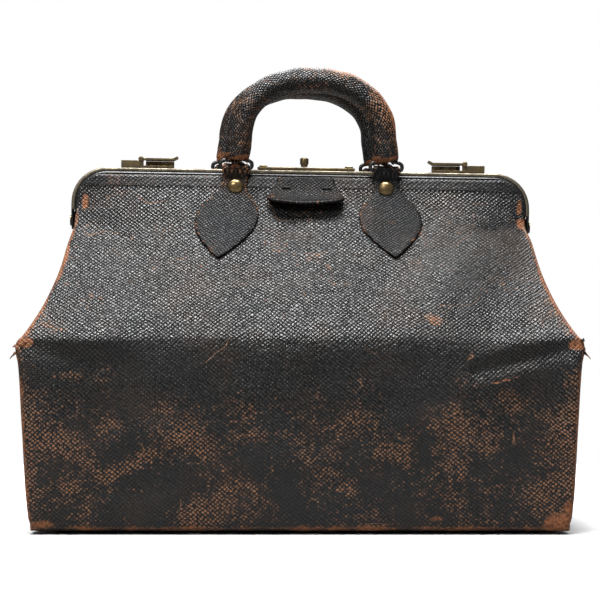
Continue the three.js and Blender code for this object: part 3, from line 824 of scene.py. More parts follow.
# Rubbed places: middle (distance from the middle, height), half sizes, tilt, strength.
RUBBED = {
    "front": [
        ((-99, 94), (16, 9), 10, 0.8),
        ((-88, 72), (22, 9), 18, 0.9),
        ((-127, 51), (36, 9), 26, 1.0),
        ((-168, 35), (12, 8), 10, 0.9),
        ((-192, 77), (13, 9), 20, 0.9),
        ((-171, 117), (15, 5), 0, 0.9),
        ((-164, 79), (18, 7), 10, 0.6),
        ((-36, 73), (52, 9), 2, 0.75),
        ((60, 62), (70, 14), 4, 0.65),
        ((130, 88), (34, 12), 12, 0.6),
        ((150, 50), (44, 16), -8, 0.6),
        ((88, 30), (60, 9), 0, 0.6),
        ((-20, 44), (70, 7), 0, 0.45),
        ((-150, 176), (20, 26), -30, 0.45),
        ((-178, 152), (16, 10), -20, 0.55),
        ((98, 158), (10, 5), -20, 0.9),
        ((14, 205), (22, 8), 0, 0.6),
        ((-52, 196), (26, 9), -12, 0.5),
        ((150, 178), (26, 12), -30, 0.4),
    ],
    "rear": [
        ((-120, 60), (50, 14), 12, 0.8),
        ((40, 74), (70, 12), -4, 0.7),
        ((140, 42), (40, 12), 14, 0.8),
        ((0, 28), (90, 8), 0, 0.5),
        ((-150, 110), (20, 8), 10, 0.7),
        ((120, 160), (24, 9), -24, 0.5),
        ((-60, 190), (24, 9), 12, 0.5),
    ],
}
# Places where the finish is gone.
BARE = {
    "front": [
        ((-188, 8), (16, 4), 0, 0.8),
        ((190, 9), (15, 8), 0, 1.0),
        ((197, 20), (6, 10), 0, 0.8),
        ((101, 12), (12, 4), 0, 0.6),
        ((203, 139), (9, 5), 0, 1.0),
        ((-201, 141), (8, 5), 0, 0.9),
        ((-165, 246), (3.5, 8), 0, 0.9),
        ((169, 232), (4, 6), 0, 1.0),
        ((168, 246), (3, 9), 0, 0.8),
        ((98, 158), (8, 3.5), -20, 0.5),
        ((-60, 37), (46, 1.8), 0, 0.55),
        ((30, 34), (70, 1.5), 0, 0.45),
        ((148, 113), (22, 1.3), 14, 0.75),
        ((-36, 92), (2.2, 12), 4, 0.5),
    ],
    "rear": [
        ((188, 8), (18, 5), 0, 0.9),
        ((-190, 9), (14, 7), 0, 0.9),
        ((203, 139), (8, 5), 0, 0.9),
        ((-202, 140), (8, 5), 0, 1.0),
        ((166, 245), (3.5, 8), 0, 0.9),
        ((-60, 40), (50, 1.6), 3, 0.6),
    ],
}


def wear_values(end, x, z):
    """wear, raw and flat on the front or rear leather."""
    wear = 0.24 + 0.38 * (1 - smoothstep(75, 135, z)) * (0.8 + 0.3 * slow_swell(x, z))
    wear += 0.10 * smoothstep(165, 200, z)
    for at, size, tilt, strength in RUBBED[end]:
        wear = np.maximum(wear, strength * patch(x, z, at, size, tilt))
    edge = half_length(z) - np.abs(x)
    wear += 0.45 * np.exp(-edge / 14) * (1 - smoothstep(150, 190, z))
    raw = 0.62 * np.exp(-((edge / 5) ** 2)) * (1 - smoothstep(236, 240, z))
    raw = np.maximum(raw, 0.55 * np.exp(-(((z - 5) / 4) ** 2)))
    for at, size, tilt, strength in BARE[end]:
        raw = np.maximum(raw, strength * patch(x, z, at, size, tilt))
    edge_of_flat = 88 + 14 * slow_swell(x * 1.3, z)
    flat = (1 - smoothstep(edge_of_flat - 40, edge_of_flat + 26, z)) * 0.55
    flat = np.clip(flat + 0.22 * flat * small_dents(x * 0.5, z * 0.5), 0, 0.9)
    flat = np.maximum(flat, 0.4 * patch(x, z, (-160, 126), (60, 14)))
    flat = np.maximum(flat, 0.4 * patch(x, z, (150, 122), (60, 14)))
    flat = np.maximum(flat, 0.55 * smoothstep(257.5, 259, z))
    return np.clip(wear, 0, 1), np.clip(raw, 0, 1), flat


def panel_rows(spacing):
    """Heights up the panel, evenly spaced along the leather, and the lengths along it."""
    heights = np.linspace(BASE_Z + BASE_RADIUS + 0.4, LEATHER_TOP, 900)
    path = np.stack([middle_depth(heights), heights], 1)
    even = evenly(path, spacing)
    return even[:, 1], path_lengths(even)


def end_slope(z):
    """How steeply the folded end runs inwards from the panel's edge."""
    fold = GUSSET_FOLD * smoothstep(EAR_HEIGHT, 216, z)
    return fold / np.maximum(end_depth(z), 8)


def panel(end):
    """The front or rear leather, in one piece from under the base to the frame."""
    side = SIDES[end]
    heights, along = panel_rows(PANEL_SPACING)
    across = np.linspace(-1, 1, PANEL_COLUMNS)
    rows, cloth = [], []

    def outline(z, lift):
        """One row across the panel and round both of its end corners."""
        length = float(half_length(z))
        radius = CORNER_RADIUS * (1 - 0.6 * float(smoothstep(200, 240, z)))
        flap = FLAP * (1 - float(smoothstep(222, 240, z)))
        slope = float(end_slope(z))
        x = across * (length - radius)
        y = depth_at(end, x, z) - lift
        corner_y = y[-1], y[0]
        row = list(zip(x, y))
        left, right = [], []
        for turn in (30, 60, 90):
            angle = math.radians(turn)
            dx, dy = radius * math.sin(angle), radius * (1 - math.cos(angle))
            right.append((length - radius + dx, corner_y[0] - dy))
            left.append((-length + radius - dx, corner_y[1] - dy))
        for step in (0.35, 0.7, 1.0):
            run = flap * step
            right.append((length - slope * run, corner_y[0] - radius - run))
            left.append((-length + slope * run, corner_y[1] - radius - run))
        return left[::-1] + row + right

    # Under the base and round its lower edge: height, how far in, place along the hide.
    levels = [(BASE_Z, BASE_RADIUS + TURN_UNDER * k, -8 - TURN_UNDER * k) for k in (1, 0.5)]
    for turn in (90, 60, 30):
        angle = math.radians(turn)
        z = BASE_Z + BASE_RADIUS * (1 - math.sin(angle))
        levels.append((z, BASE_RADIUS * (1 - math.cos(angle)), -BASE_RADIUS * angle))
    for z, lift, place in levels:
        rows.append([(x, y, z) for x, y in outline(heights[0], lift)])
        cloth.append(place)
    for z, place in zip(heights, along):
        rows.append([(x, y, z) for x, y in outline(z, 0)])
        cloth.append(place)
    grid = np.array(rows)
    steps = np.linalg.norm(np.diff(grid[:, :, :2], axis=1), axis=2)
    ran = np.concatenate([np.zeros((len(rows), 1)), np.cumsum(steps, 1)], 1)
    ran -= ran[:, ran.shape[1] // 2][:, None]
    hide = np.zeros_like(grid)
    hide[:, :, 0] = ran * MM
    hide[:, :, 1] = np.array(cloth)[:, None] * MM
    hide[:, :, 2] = 0.3 * (side + 1)
    wear, raw, flat = wear_values(end, grid[:, :, 0], grid[:, :, 2])
    # The flaps round the corners are hardly rubbed.
    raw[:, :3] *= 0.3
    raw[:, -3:] *= 0.3
    grid[:, :, 1] *= side
    grid = draped(grid)
    values = {"cloth": hide, "wear": wear, "raw": raw, "flat": flat}
    outside = (0, side, 0.4)
    thing = sheet(f"{end}_leather", grid, LEATHER, [BODY, LINING], outside, values)
    bend_between(thing)
    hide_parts(f"{end}_panel", f"{end}_frame_leather")
    return thing


def gusset_half(end_name, end):
    """Half of a folded end, from its crease to the front or rear panel's edge."""
    way, side = ENDS[end_name], SIDES[end]
    upper = np.linspace(8, GUSSET_TOP, GUSSET_ROWS)
    heights = np.concatenate([[BASE_Z + 1.2, BASE_Z + 3], upper])
    rows, hide = [], []
    crease = waves(21 + way, 8, 30, 80)
    for z in heights:
        depth = float(end_depth(max(z, 8))) - CORNER_RADIUS * 0.6
        depth = max(depth - 1.5, 5)
        length = float(half_length(max(z, 8)))
        fold = GUSSET_FOLD * float(smoothstep(EAR_HEIGHT - 4, 216, z))
        row, place = [], []
        for v in np.linspace(0.0, 1.0, GUSSET_COLUMNS):
            soft = 1 - math.sqrt(v * v + 0.0025)
            tuck = 0.7 + 2.0 * float(smoothstep(depth - 9, depth - 5, v * depth))
            loose = 0.9 * (1 - v) * float(smoothstep(148, 185, z))
            sag = loose * float(crease(v * depth * side, z))
            ridge = 1.0 * math.exp(-((z - EAR_HEIGHT) ** 2) / 30) * (1 - v**6)
            x = length - tuck - fold * soft + sag + ridge
            row.append((way * x, side * v * depth, z))
            place.append((v * depth * side * MM, z * MM, 0.9 + 0.3 * way))
        rows.append(row)
        hide.append(place)
    grid = np.array(rows)
    y, z = np.abs(grid[:, :, 1]), grid[:, :, 2]
    wear = 0.22 + 0.35 * np.exp(-y / 5) * smoothstep(EAR_HEIGHT, 170, z)
    wear += 0.3 * patch(y * side, z, (20 * way, 60), (50, 20), 15)
    raw = 0.55 * np.exp(-y / 1.6) * smoothstep(150, 190, z)
    raw = np.maximum(raw, 0.6 * np.exp(-(((z - EAR_HEIGHT) / 2.5) ** 2)))
    raw = np.maximum(raw, 0.5 * np.exp(-(((z - 4) / 3) ** 2)))
    flat = 0.55 * (1 - smoothstep(90, 140, z)) * (0.7 + 0.3 * small_dents(grid[:, :, 1], z))
    values = {"cloth": np.array(hide), "wear": np.clip(wear, 0, 1), "raw": raw, "flat": flat}
    thing = sheet(
        f"{end_name}_{end}_gusset",
        draped(grid),
        LEATHER - 0.4,
        [BODY, LINING],
        (way, 0, 0),
        values,
    )
    bend_between(thing)
    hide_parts(f"{end_name}_gusset")
    return thing


for end in SIDES:
    panel(end)
    for end_name in ENDS:
        gusset_half(end_name, end)


# ---- the frames ------------------------------------------------------------------------------


def hoop_path(inset, leg_end):
    """The frame's outline from one leg's end over the top to the other's, at some inset."""
    x = FRAME_HALF_LENGTH - inset
    top = FRAME_TOP - inset
    radius = FRAME_CORNER - inset
    path = [(-x, leg_end)]
    for turn in np.linspace(180, 90, 13):
        angle = math.radians(turn)
        across, up = radius * math.cos(angle), radius * math.sin(angle)
        path.append((-x + radius + across, top - radius + up))
    for share in np.linspace(0, 1, 41)[1:-1]:
        path.append(((x - radius) * (2 * share - 1), top))
    for turn in np.linspace(90, 0, 13):
        angle = math.radians(turn)
        across, up = radius * math.cos(angle), radius * math.sin(angle)
        path.append((x - radius + across, top - radius + up))
    path.append((x, leg_end))
    return np.array(path)


# The bar's section: distance in from the outline, distance from the middle plane, material.
BAR_SECTION = [
    (0.25, 0.6, 0),
    (-0.05, 1.4, 0),
    (-0.15, 5.0, 0),
    (0.0, 8.4, 0),
    (0.35, 9.2, 0),
    (0.95, 9.5, 0),
    (2.5, 9.45, 1),
    (2.9, 9.0, 1),
    (3.1, 9.6, 1),
    (3.5, 10.6, 1),
    (4.2, 10.9, 1),
    (4.9, 10.5, 1),
    (5.1, 9.6, 1),
    (4.4, 9.0, 1),
    (4.0, 8.4, 1),
    (4.0, 1.2, 1),
    (3.6, 0.6, 1),
]


def frame_bar(end):
    side = SIDES[end]
    outline = hoop_path(0, LEG_END)
    tangents = unit(np.gradient(outline, axis=0))
    inwards = np.stack([tangents[:, 1], -tangents[:, 0]], 1)
    rings = []
    for (x, z), (nx, nz) in zip(outline, inwards):
        ring = [(x + nx * inset, side * y, z + nz * inset) for inset, y, _ in BAR_SECTION]
        rings.append(ring)
    materials = [FRAME_BRASS, STEEL]
    chosen = [row[2] for row in BAR_SECTION]
    thing = loft(f"{end}_bar", turned_with_frame(rings), materials, indices=chosen)
    thing.data.set_sharp_from_angle(angle=math.radians(48))
    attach(thing, f"{end}_frame")
    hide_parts(f"{end}_frame_bar")
    for name in ENDS:
        hinge_plate(end, name).parent = thing
    return thing


def hinge_plate(end, name):
    """The flat ear at a leg's end that the hinge pin goes through."""
    side, way = SIDES[end], ENDS[name]
    outer = FRAME_HALF_LENGTH - (0 if side < 0 else EAR_THICK + 0.35)
    outline = [(side * 0.6, LEG_END + 5), (side * 9, LEG_END + 5), (side * 9, LEG_END + 1)]
    for turn in np.linspace(0, 180, 15):
        angle = math.radians(turn)
        across, down = side * EAR_RADIUS * math.cos(angle), EAR_RADIUS * math.sin(angle)
        outline.append((across, PIVOT_Z - down))
    outline.append((-side * EAR_RADIUS, PIVOT_Z + 2))
    outline.append((-side * 0.5, LEG_END - 0.5))
    centre = np.mean(outline, axis=0)
    rings = []
    for x, inset in ((outer, 0.3), (outer - 0.3, 0), (outer - 1.4, 0), (outer - EAR_THICK, 0.3)):
        pulled = centre + (np.array(outline) - centre) * (1 - inset / 9)
        rings.append([(way * x, y, z) for y, z in pulled])
    thing = loft(f"{end}_{name}_hinge_plate", turned_with_frame(rings), [STEEL])
    thing.data.set_sharp_from_angle(angle=math.radians(40))
    return thing


for end in SIDES:
    frame_bar(end)


# ---- stitching -------------------------------------------------------------------------------


def stitches(name, path, normals, pitch=3.4, length=2.3, radius=0.42):
    """A row of thread stitches along a path, each sunk at both ends."""
    along = path_lengths(path)
    count = int(along[-1] / pitch)
    points, faces = [], []
    profile = [(-0.5, 0.25, -0.5), (-0.3, 0.9, 0.1), (0, 1.0, 0.35), (0.3, 0.9, 0.1), (0.5, 0.25, -0.5)]
    sides = 6
    for k in range(count):
        at = (k + 0.5) * along[-1] / count
        place = np.array([np.interp(at, along, path[:, i]) for i in range(3)])
        ahead = np.array([np.interp(at + 0.5, along, path[:, i]) for i in range(3)])
        behind = np.array([np.interp(at - 0.5, along, path[:, i]) for i in range(3)])
        tangent = unit(ahead - behind)
        normal = unit(np.array([np.interp(at, along, normals[:, i]) for i in range(3)]))
        other = np.cross(tangent, normal)
        first = len(points)
        for s, size, lift in profile:
            for j in range(sides):
                turn = 2 * math.pi * j / sides
                offset = size * radius * (math.cos(turn) * normal + math.sin(turn) * other)
                points.append(place + tangent * s * length + normal * lift * radius + offset)
        for r in range(len(profile) - 1):
            for j in range(sides):
                n = (j + 1) % sides
                a, b = first + r * sides, first + (r + 1) * sides
                faces.append([a + j, a + n, b + n, b + j])
        faces.append([first + j for j in range(sides)])
        last = first + (len(profile) - 1) * sides
        faces.append([last + j for j in range(sides)])
    thing = outwards(mesh_object(name, points, faces, [THREAD]))
    return thing


def on_panel(end, x, z, lift=0.0):
    """Places on a panel's outside, raised by lift, and the directions out of it there."""
    x, z = np.asarray(x, float), np.asarray(z, float)
    side = SIDES[end]
    step = 0.5
    depth = depth_at(end, x, z)
    dx = (depth_at(end, x + step, z) - depth_at(end, x - step, z)) / (2 * step)
    dz = (depth_at(end, x, z + step) - depth_at(end, x, z - step)) / (2 * step)
    normal = unit(np.stack([-dx, np.ones_like(depth), -dz], -1))
    place = np.stack([x, depth, z], -1) + normal * lift
    place[..., 1] *= side
    normal[..., 1] *= side
    return draped(place), normal


def frame_stitching(end):
    """A row of stitches that holds the hem, following the frame."""
    path = evenly(hoop_path(13.4, 243), 3)
    places, normals = on_panel(end, path[:, 0], path[:, 1], 0.05)
    thing = stitches(f"{end}_hem_stitches", places, normals)
    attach(thing, f"{end}_frame")


for end in SIDES:
    frame_stitching(end)


# ---- the leaf tabs ---------------------------------------------------------------------------

leaf_width = curve_through(LEAF)


def loop_round_ring():
    """The tab's middle line over the ring of a front handle: y, height."""
    turns = np.radians(np.linspace(-25, 205, 17))
    return [
        (-RING_Y + LOOP_RADIUS * math.cos(turn), RING_Z + LOOP_RADIUS * math.sin(turn))
        for turn in turns
    ]


def leaf_tab(end, name):
    side, way = SIDES[end], ENDS[name]
    middle = HANDLE_X[end] + way * LEG_X
    lean = LEAF_LEAN[f"{end}_{name}"]
    across = np.linspace(-1, 1, 25)
    lift = TAB_LEATHER + 0.5
    rng = waves(31 + side + 3 * way, 6, 7, 20)
    rows = []
    top = LEAF[0][0]
    # The loop round the ring, then the leaf, which lies on the body.
    loop = loop_round_ring()
    hide = list(path_lengths(loop))
    run = hide[-1]
    edge = [0.45] * len(loop)
    for y, z in loop:
        width = 9.4 + 0.5 * math.sin(z * 1.7)
        row = []
        for u in across:
            jitter = 0.28 * float(rng(u * 9, z * 2.0 + y))
            row.append((middle + u * width, -side * y, z + jitter))
        rows.append(turned_with_frame(row))
    heights = np.concatenate([np.linspace(top, 205, 48), np.linspace(204.6, 203.4, 3)])
    for z in heights:
        width = float(leaf_width(z))
        centre = middle + lean * (top - z)
        x = centre + across * width
        places, normals = on_panel(end, x, np.full_like(x, z), lift)
        # Pressed down along its edge.
        press = 0.45 * smoothstep(0.72, 1.0, np.abs(across)) * min(1.0, width / 8)
        places = places - normals * press[:, None]
        rows.append(places)
        run += 1.5 if z > 225 else 1.75
        hide.append(run)
        edge.append(0.0)
    grid = np.array(rows)
    cloth = np.zeros_like(grid)
    for r in range(len(rows)):
        size = abs(grid[r, -1, 0] - grid[r, 0, 0]) / 2
        cloth[r, :, 0] = across * size * MM
        cloth[r, :, 1] = hide[r] * MM
        cloth[r, :, 2] = 0.2 + 0.17 * side + 0.07 * way
    rim = np.abs(across)[None, :] ** 8 * np.ones((len(rows), 1))
    loopness = np.array(edge)[:, None] * np.ones((1, len(across)))
    wear = 0.25 + 0.35 * rim + 0.5 * loopness
    crumpled = 0.8 + 0.4 * rng(grid[:, :, 0], grid[:, :, 2] * 3)
    raw = np.maximum(0.30 * rim, loopness * crumpled)
    flat = 0.1 * np.ones_like(rim)
    values = {"cloth": cloth, "wear": wear, "raw": np.clip(raw, 0, 1) * 0.8, "flat": flat}
    thing = sheet(f"{end}_{name}_leaf", grid, TAB_LEATHER, [TABS], (0, side, 0.6), values, 0.2)
    bend_between(thing)
    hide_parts(f"{end}_{name}_leaf_tab")
    leaf_stitches(end, name, middle, lean)
    tab_rivet(end, name, middle)
    return thing


def leaf_stitches(end, name, middle, lean):
    """Fine stitches just inside the leaf's edge."""
    top = LEAF[0][0]
    heights = np.linspace(250, 208.5, 60)
    down = [(1, z) for z in heights]
    up = [(-1, z) for z in heights[::-1]]
    path = []
    for way, z in down + up:
        width = float(leaf_width(z)) - 2.3
        path.append((middle + lean * (top - z) + way * max(width, 0), z))
    path = evenly(np.array(path), 1.2)
    places, normals = on_panel(end, path[:, 0], path[:, 1], TAB_LEATHER + 0.32)
    thing = stitches(f"{end}_{name}_leaf_stitches", places, normals, 2.3, 1.7, 0.3)
    bend_between(thing)


RIVET_PROFILE = [
    (0.0, -4.2),
    (2.9, -4.2),
    (3.0, -3.4),
    (1.6, -3.2),
    (1.6, 2.2),
    (5.6, 2.3),
    (6.0, 2.7),
    (5.9, 3.3),
    (5.4, 4.1),
    (4.5, 4.9),
    (3.2, 5.5),
    (1.6, 5.8),
    (0.4, 5.9),
]


def tab_rivet(end, name, middle):
    places, normals = on_panel(end, np.array([middle]), np.array([RIVET_Z]), 0.6)
    place, normal = places[0], normals[0]
    first = unit(np.cross(normal, [1, 0, 0]))
    second = np.cross(normal, first)
    turns = np.linspace(0, 2 * math.pi, 36, endpoint=False)
    rings = []
    for radius, height in RIVET_PROFILE:
        size = max(radius, 0.02)
        ring = [
            place + normal * height + size * (math.cos(t) * first + math.sin(t) * second)
            for t in turns
        ]
        rings.append(ring)
    thing = loft(f"{end}_{name}_rivet", rings, [DOME_BRASS])
    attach(thing, f"{end}_frame")
    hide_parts(f"{end}_{name}_tab_rivet")
    return thing


for end in SIDES:
    for name in ENDS:
        leaf_tab(end, name)


# ---- the pull tab ----------------------------------------------------------------------------

# y, height, half width.
PULL_ROWS = [
    (-14.4, 266, 21),
    (-16.6, 261.5, 21.5),
    (-19.0, 256.4, 25.5),
    (-22.5, 252, 28.5),
    (-27, 249, 28.8),
    (-31, 247.4, 26),
    (-33.2, 247.0, 21),
]
PULL_X = 3.9


def pull_tab():
    path = np.array(PULL_ROWS, float)
    along = path_lengths(path[:, :2])
    steps = np.linspace(0, along[-1], 26)
    y, z, width = (np.interp(steps, along, path[:, k]) for k in range(3))
    across = np.linspace(-1, 1, 41)
    bend = waves(51, 6, 12, 30)
    rows = []
    for yy, zz, w in zip(y, z, width):
        x = PULL_X + across * w
        lip = 0.5 * bend(across * 20, zz)
        curl = 1.6 * across**2 * smoothstep(-18, -32, yy)
        rows.append(np.stack([x, np.full_like(x, yy), zz + 0.4 * lip + curl], 1))
    grid = np.array(rows)
    cloth = np.zeros_like(grid)
    cloth[:, :, 0] = grid[:, :, 0] * MM
    cloth[:, :, 1] = steps[:, None] * MM
    cloth[:, :, 2] = 0.77
    rim = np.maximum(np.abs(across)[None, :] ** 10, (steps[:, None] / steps[-1]) ** 10)
    values = {
        "cloth": cloth,
        "wear": 0.25 + 0.2 * rim,
        "raw": 0.1 * rim,
        "flat": np.full(rim.shape, 0.3),
    }
    grid = turned_with_frame(grid)
    thing = sheet("pull_tab_leather", grid, 2.4, [TABS], (0, -0.5, 1), values, 0.2)
    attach(thing, "front_frame")
    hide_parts("pull_tab")
    for x, reach in ((-11, 3.4), (20, 3.4)):
        bar = [(x - reach, -18.8, 258.2), (x, -19.0, 258.6), (x + reach, -18.8, 257.8)]
        bar = turned_with_frame(np.array(bar))
        staple = tube(f"pull_tab_staple_{'left' if x < 0 else 'right'}", bar, 0.55, [THREAD])
        staple.parent = thing


pull_tab()


# ---- the handles -----------------------------------------------------------------------------


def grip_path(end):
    """The middle of a handle's grip, from one leg's end to the other's."""
    left = [(-LEG_X + (LEG_X - HOOP_X) * k, GRIP_END + (HOOP_Z - GRIP_END) * k) for k in (0, 0.5)]
    hoop = []
    for turn in np.linspace(180, 0, 61):
        angle = math.radians(turn)
        c, s = math.cos(angle), max(math.sin(angle), 0.0)
        x = HOOP_X * math.copysign(abs(c) ** (2 / HOOP_POWER), c)
        hoop.append((x, HOOP_Z + HOOP_RISE[end] * s ** (2 / HOOP_POWER)))
    right = [(-x, z) for x, z in reversed(left)]
    return evenly(np.array(left + hoop + right), 2.0)


def handle(end):
    side = SIDES[end]
    path = grip_path(end)
    along = path_lengths(path)
    total = along[-1]
    tangents = unit(np.gradient(path, axis=0))
    outwards_of = np.stack([-tangents[:, 1], tangents[:, 0]], 1)
    turns = np.linspace(0, 2 * math.pi, 56, endpoint=False)
    dents = waves(61 + side, 10, 9, 34)
    rings, hide, wear_rows, raw_and_seam_highlight_rows = [], [], [], []
    for k, ((x, z), (nx, nz)) in enumerate(zip(path, outwards_of)):
        from_end = min(along[k], total - along[k])
        flare = 0.5 * math.exp(-from_end / 9)
        ring, place, worn, bare = [], [], [], []
        for t in turns:
            # The seam stands up a little along the inside of the hoop.
            seam = math.exp(-(((t - math.pi + side * 0.16) / 0.10) ** 2))
            radius = GRIP_RADIUS - 0.45 + flare + 0.28 * float(dents(along[k], t * 12))
            radius += 0.7 * seam * min(1, from_end / 10)
            radius -= 1.3 * math.exp(-from_end / 1.6)
            ragged = 0.9 * math.sin(9 * t) * math.sin(4 * t + 1) * math.exp(-from_end / 2)
            out, over = radius * math.cos(t), radius * math.sin(t)
            ring.append((x + nx * out, over, z + nz * out + ragged * 0.5))
            place.append((along[k] * MM, t * GRIP_RADIUS * MM, 0.5 + 0.11 * side))
            top = max(math.cos(t), 0) ** 2
            if end == "front":
                rubbed = float(smoothstep(-30, 25, x))
                worn.append(0.50 + 0.14 * rubbed + 0.4 * top * rubbed)
                bare.append(0.1 * rubbed + 0.55 * float(smoothstep(0.3, 0.9, top)) * rubbed)
            else:
                worn.append(0.42 + 0.2 * top)
                bare.append(0.0)
            fray = math.exp(-((from_end / 7) ** 2)) * (0.75 + 0.25 * math.sin(3 * t + along[k]))
            # Raw colour along the seam: partly the welt's worn edge, partly a painted highlight along
            # it.
            bare[-1] = min(1.0, max(bare[-1], fray, 0.55 * seam))
        rings.append(ring)
        hide.append(place)
        wear_rows.append(worn)
        raw_and_seam_highlight_rows.append(bare)
    rings = np.array(rings)
    rings[:, :, 0] += HANDLE_X[end]
    rings[:, :, 1] += side * RING_Y
    thing = loft(f"{end}_grip", turned_with_frame(rings), [GRIP])
    paint(
        thing,
        cloth=np.array(hide).reshape(-1, 3),
        wear=np.clip(np.array(wear_rows).ravel(), 0, 1),
        raw=np.array(raw_and_seam_highlight_rows).ravel(),
        flat=np.full(len(thing.data.vertices), 0.05),
    )
    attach(thing, f"{end}_handle")
    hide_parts(f"{end}_handle_cover", f"{end}_handle_core")
    for name in ENDS:
        ring_of_wire(end, name)
        grip_tatters(end, name, thing)
    return thing


def ring_of_wire(end, name):
    """The wire ring that joins a leg of the handle to its loop."""
    side, way = SIDES[end], ENDS[name]
    wide, narrow = 13.6 - WIRE / 2, 4.8 - WIRE / 2
    half = [(0, 0), (wide - 1.5, 0), (wide - 0.4, 0.5), (wide, 1.6), (wide, 4)]
    half += [(wide - 1.8, 5.6), (narrow + 0.9, 7.0), (narrow, 8.4), (narrow, 16.5)]
    half += [(narrow - 1, 17.9), (0, 17.9)]
    outline = half + [(-x, z) for x, z in reversed(half[1:-1])]
    path = evenly(np.array(outline + [outline[0]], float), 1.3)[:-1]
    middle = HANDLE_X[end] + way * LEG_X
    points = [(middle + x, side * RING_Y, RING_Z + z) for x, z in path]
    points = turned_with_frame(np.array(points))
    thing = tube(f"{end}_{name}_wire", points, WIRE / 2, [STEEL], closed=True)
    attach(thing, f"{end}_handle")
    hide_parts(f"{end}_{name}_ring")


def tatter(points, faces, start, direction, out, length, width, thick, rng):
    """Adds one torn strip of leather that tapers and curls."""
    direction, out = unit(direction), unit(out)
    flat = unit(np.cross(direction, out))
    steps = 5
    place = np.array(start, float)
    first = len(points)
    curl = rng.uniform(-0.35, 0.55)
    for k in range(steps + 1):
        share = k / steps
        w = width * (1 - 0.8 * share) * (0.8 + 0.4 * rng.random())
        t = thick * (1 - 0.5 * share)
        for a, b in ((-1, -1), (1, -1), (1, 1), (-1, 1)):
            points.append(place + flat * a * w / 2 + out * b * t / 2)
        place = place + direction * length / steps
        direction = unit(direction + out * curl * 0.5 + flat * rng.uniform(-0.25, 0.25))
        out = unit(np.cross(flat, direction))
    for k in range(steps):
        a, b = first + 4 * k, first + 4 * (k + 1)
        for j in range(4):
            n = (j + 1) % 4
            faces.append([a + j, a + n, b + n, b + j])
    faces.append([first + j for j in range(4)])
    faces.append([first + 4 * steps + j for j in range(4)])


def grip_tatters(end, name, grip):
    """Frayed leather round the end of a handle's leg."""
    side, way = SIDES[end], ENDS[name]
    rng = random.Random(f"{end}{name}")
    points, faces = [], []
    middle = np.array([HANDLE_X[end] + way * LEG_X, side * RING_Y, GRIP_END + 1.5])
    for k in range(34):
        turn = 2 * math.pi * (k + rng.random() * 0.6) / 34
        out = np.array([math.cos(turn), math.sin(turn), 0])
        start = middle + out * (GRIP_RADIUS - rng.uniform(1.2, 3.4)) + [0, 0, rng.uniform(-0.5, 2)]
        down = np.array([0.25 * out[0], 0.25 * out[1], -1])
        # Shorter on the outside, which comes down towards the rivet.
        length = rng.uniform(2.2, 4.6) * (0.45 if out[1] * side > 0 else 1)
        tatter(points, faces, start, down, out, length, rng.uniform(1.6, 4.2), 0.8, rng)
    places = turned_with_frame(np.array(points))
    thing = outwards(mesh_object(f"{end}_{name}_fray", places, faces, [FIBRE]))
    thing.parent = grip


for end in SIDES:
    handle(end)


# ---- ears: the torn corners at the top of the end boards ---------------------------------------


def ear(end, name):
    """Torn leather where a panel's corner has worn through to the board."""
    side, way = SIDES[end], ENDS[name]
    rng = random.Random(f"ear {end} {name}")
    points, faces = [], []
    corner = np.array([way * 207.5, side * 101, EAR_HEIGHT - 1])
    out = np.array([0.2 * way, side, 0.4])
    for _ in range(12):
        x, y, z = way * rng.uniform(-8, 0), side * rng.uniform(-3, 1.2), rng.uniform(-5, 4)
        start = corner + [x, y, z]
        x, y, z = way * rng.uniform(0.3, 1), side * rng.uniform(-0.6, 0.3), rng.uniform(-0.8, 0.6)
        direction = np.array([x, y, z])
        length, width = rng.uniform(2, 3.6), rng.uniform(2, 4.4)
        tatter(points, faces, start, direction, out, length, width, 1.1, rng)
    shred = corner + [way * 0.5, 0, -6]
    tatter(points, faces, shred, [way * 0.7, 0, -0.9], [0, side, 0], 7, 2.0, 1.0, rng)
    thing = outwards(mesh_object(f"{name}_{end}_torn_corner", points, faces, [FIBRE]))
    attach(thing, "bag")


for end in SIDES:
    for name in ENDS:
        ear(end, name)


# ---- hardware, boards, lining and feet ---------------------------------------------------------

for name in ("left", "right"):
    for part in ("latch_base", "latch_lever", "latch_strike"):
        softened(f"{name}_{part}", 0.35, BRASS)
    softened(f"{name}_latch_pin", 0.15, BRASS)
    softened(f"{name}_frame_pivot", 0.3, BRASS)
    softened(f"{name}_lock_rivet", 0.15, DOME_BRASS)
for part in ("lock_plate", "lock_case", "lock_knob", "lock_bolt", "lock_staple"):
    softened(part, 0.3, BRASS)
for end in SIDES:
    for name in ENDS:
        softened(f"{end}_{name}_foot", 0.4, BRASS)


def finish_node(node, material):
    """Gives a CAD node that keeps its shape a material."""
    thing = frame["nodes"][node]
    for entry in thing.material_slots:
        entry.material = material


for node in ("base_board", "left_end_board", "right_end_board"):
    finish_node(node, BOARD)


def base_leather():
    """The base's leather, with the wear of a bag that has stood on many floors."""
    x = np.linspace(-BASE_HALF_LENGTH, BASE_HALF_LENGTH, 98)
    y = np.linspace(-BASE_HALF_DEPTH, BASE_HALF_DEPTH, 49)
    dips = waves(71, 10, 20, 90)
    grid = np.stack(np.meshgrid(x, y), -1)
    z = 3.0 + 0.12 * dips(grid[:, :, 0], grid[:, :, 1])
    grid = np.dstack([grid, z])
    cloth = grid * MM
    cloth[:, :, 2] = 1.9
    away = np.abs(grid)
    edge = np.minimum(BASE_HALF_LENGTH - away[:, :, 0], BASE_HALF_DEPTH - away[:, :, 1])
    values = {
        "cloth": cloth,
        "wear": 0.35 + 0.3 * dips(grid[:, :, 0], grid[:, :, 1]),
        "raw": 0.4 * np.exp(-edge / 6),
        "flat": np.full(edge.shape, 0.6),
    }
    thing = sheet("base_leather", grid, 2.0, [BODY], (0, 0, -1), values)
    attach(thing, "bag")
    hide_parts("bottom_leather")


base_leather()


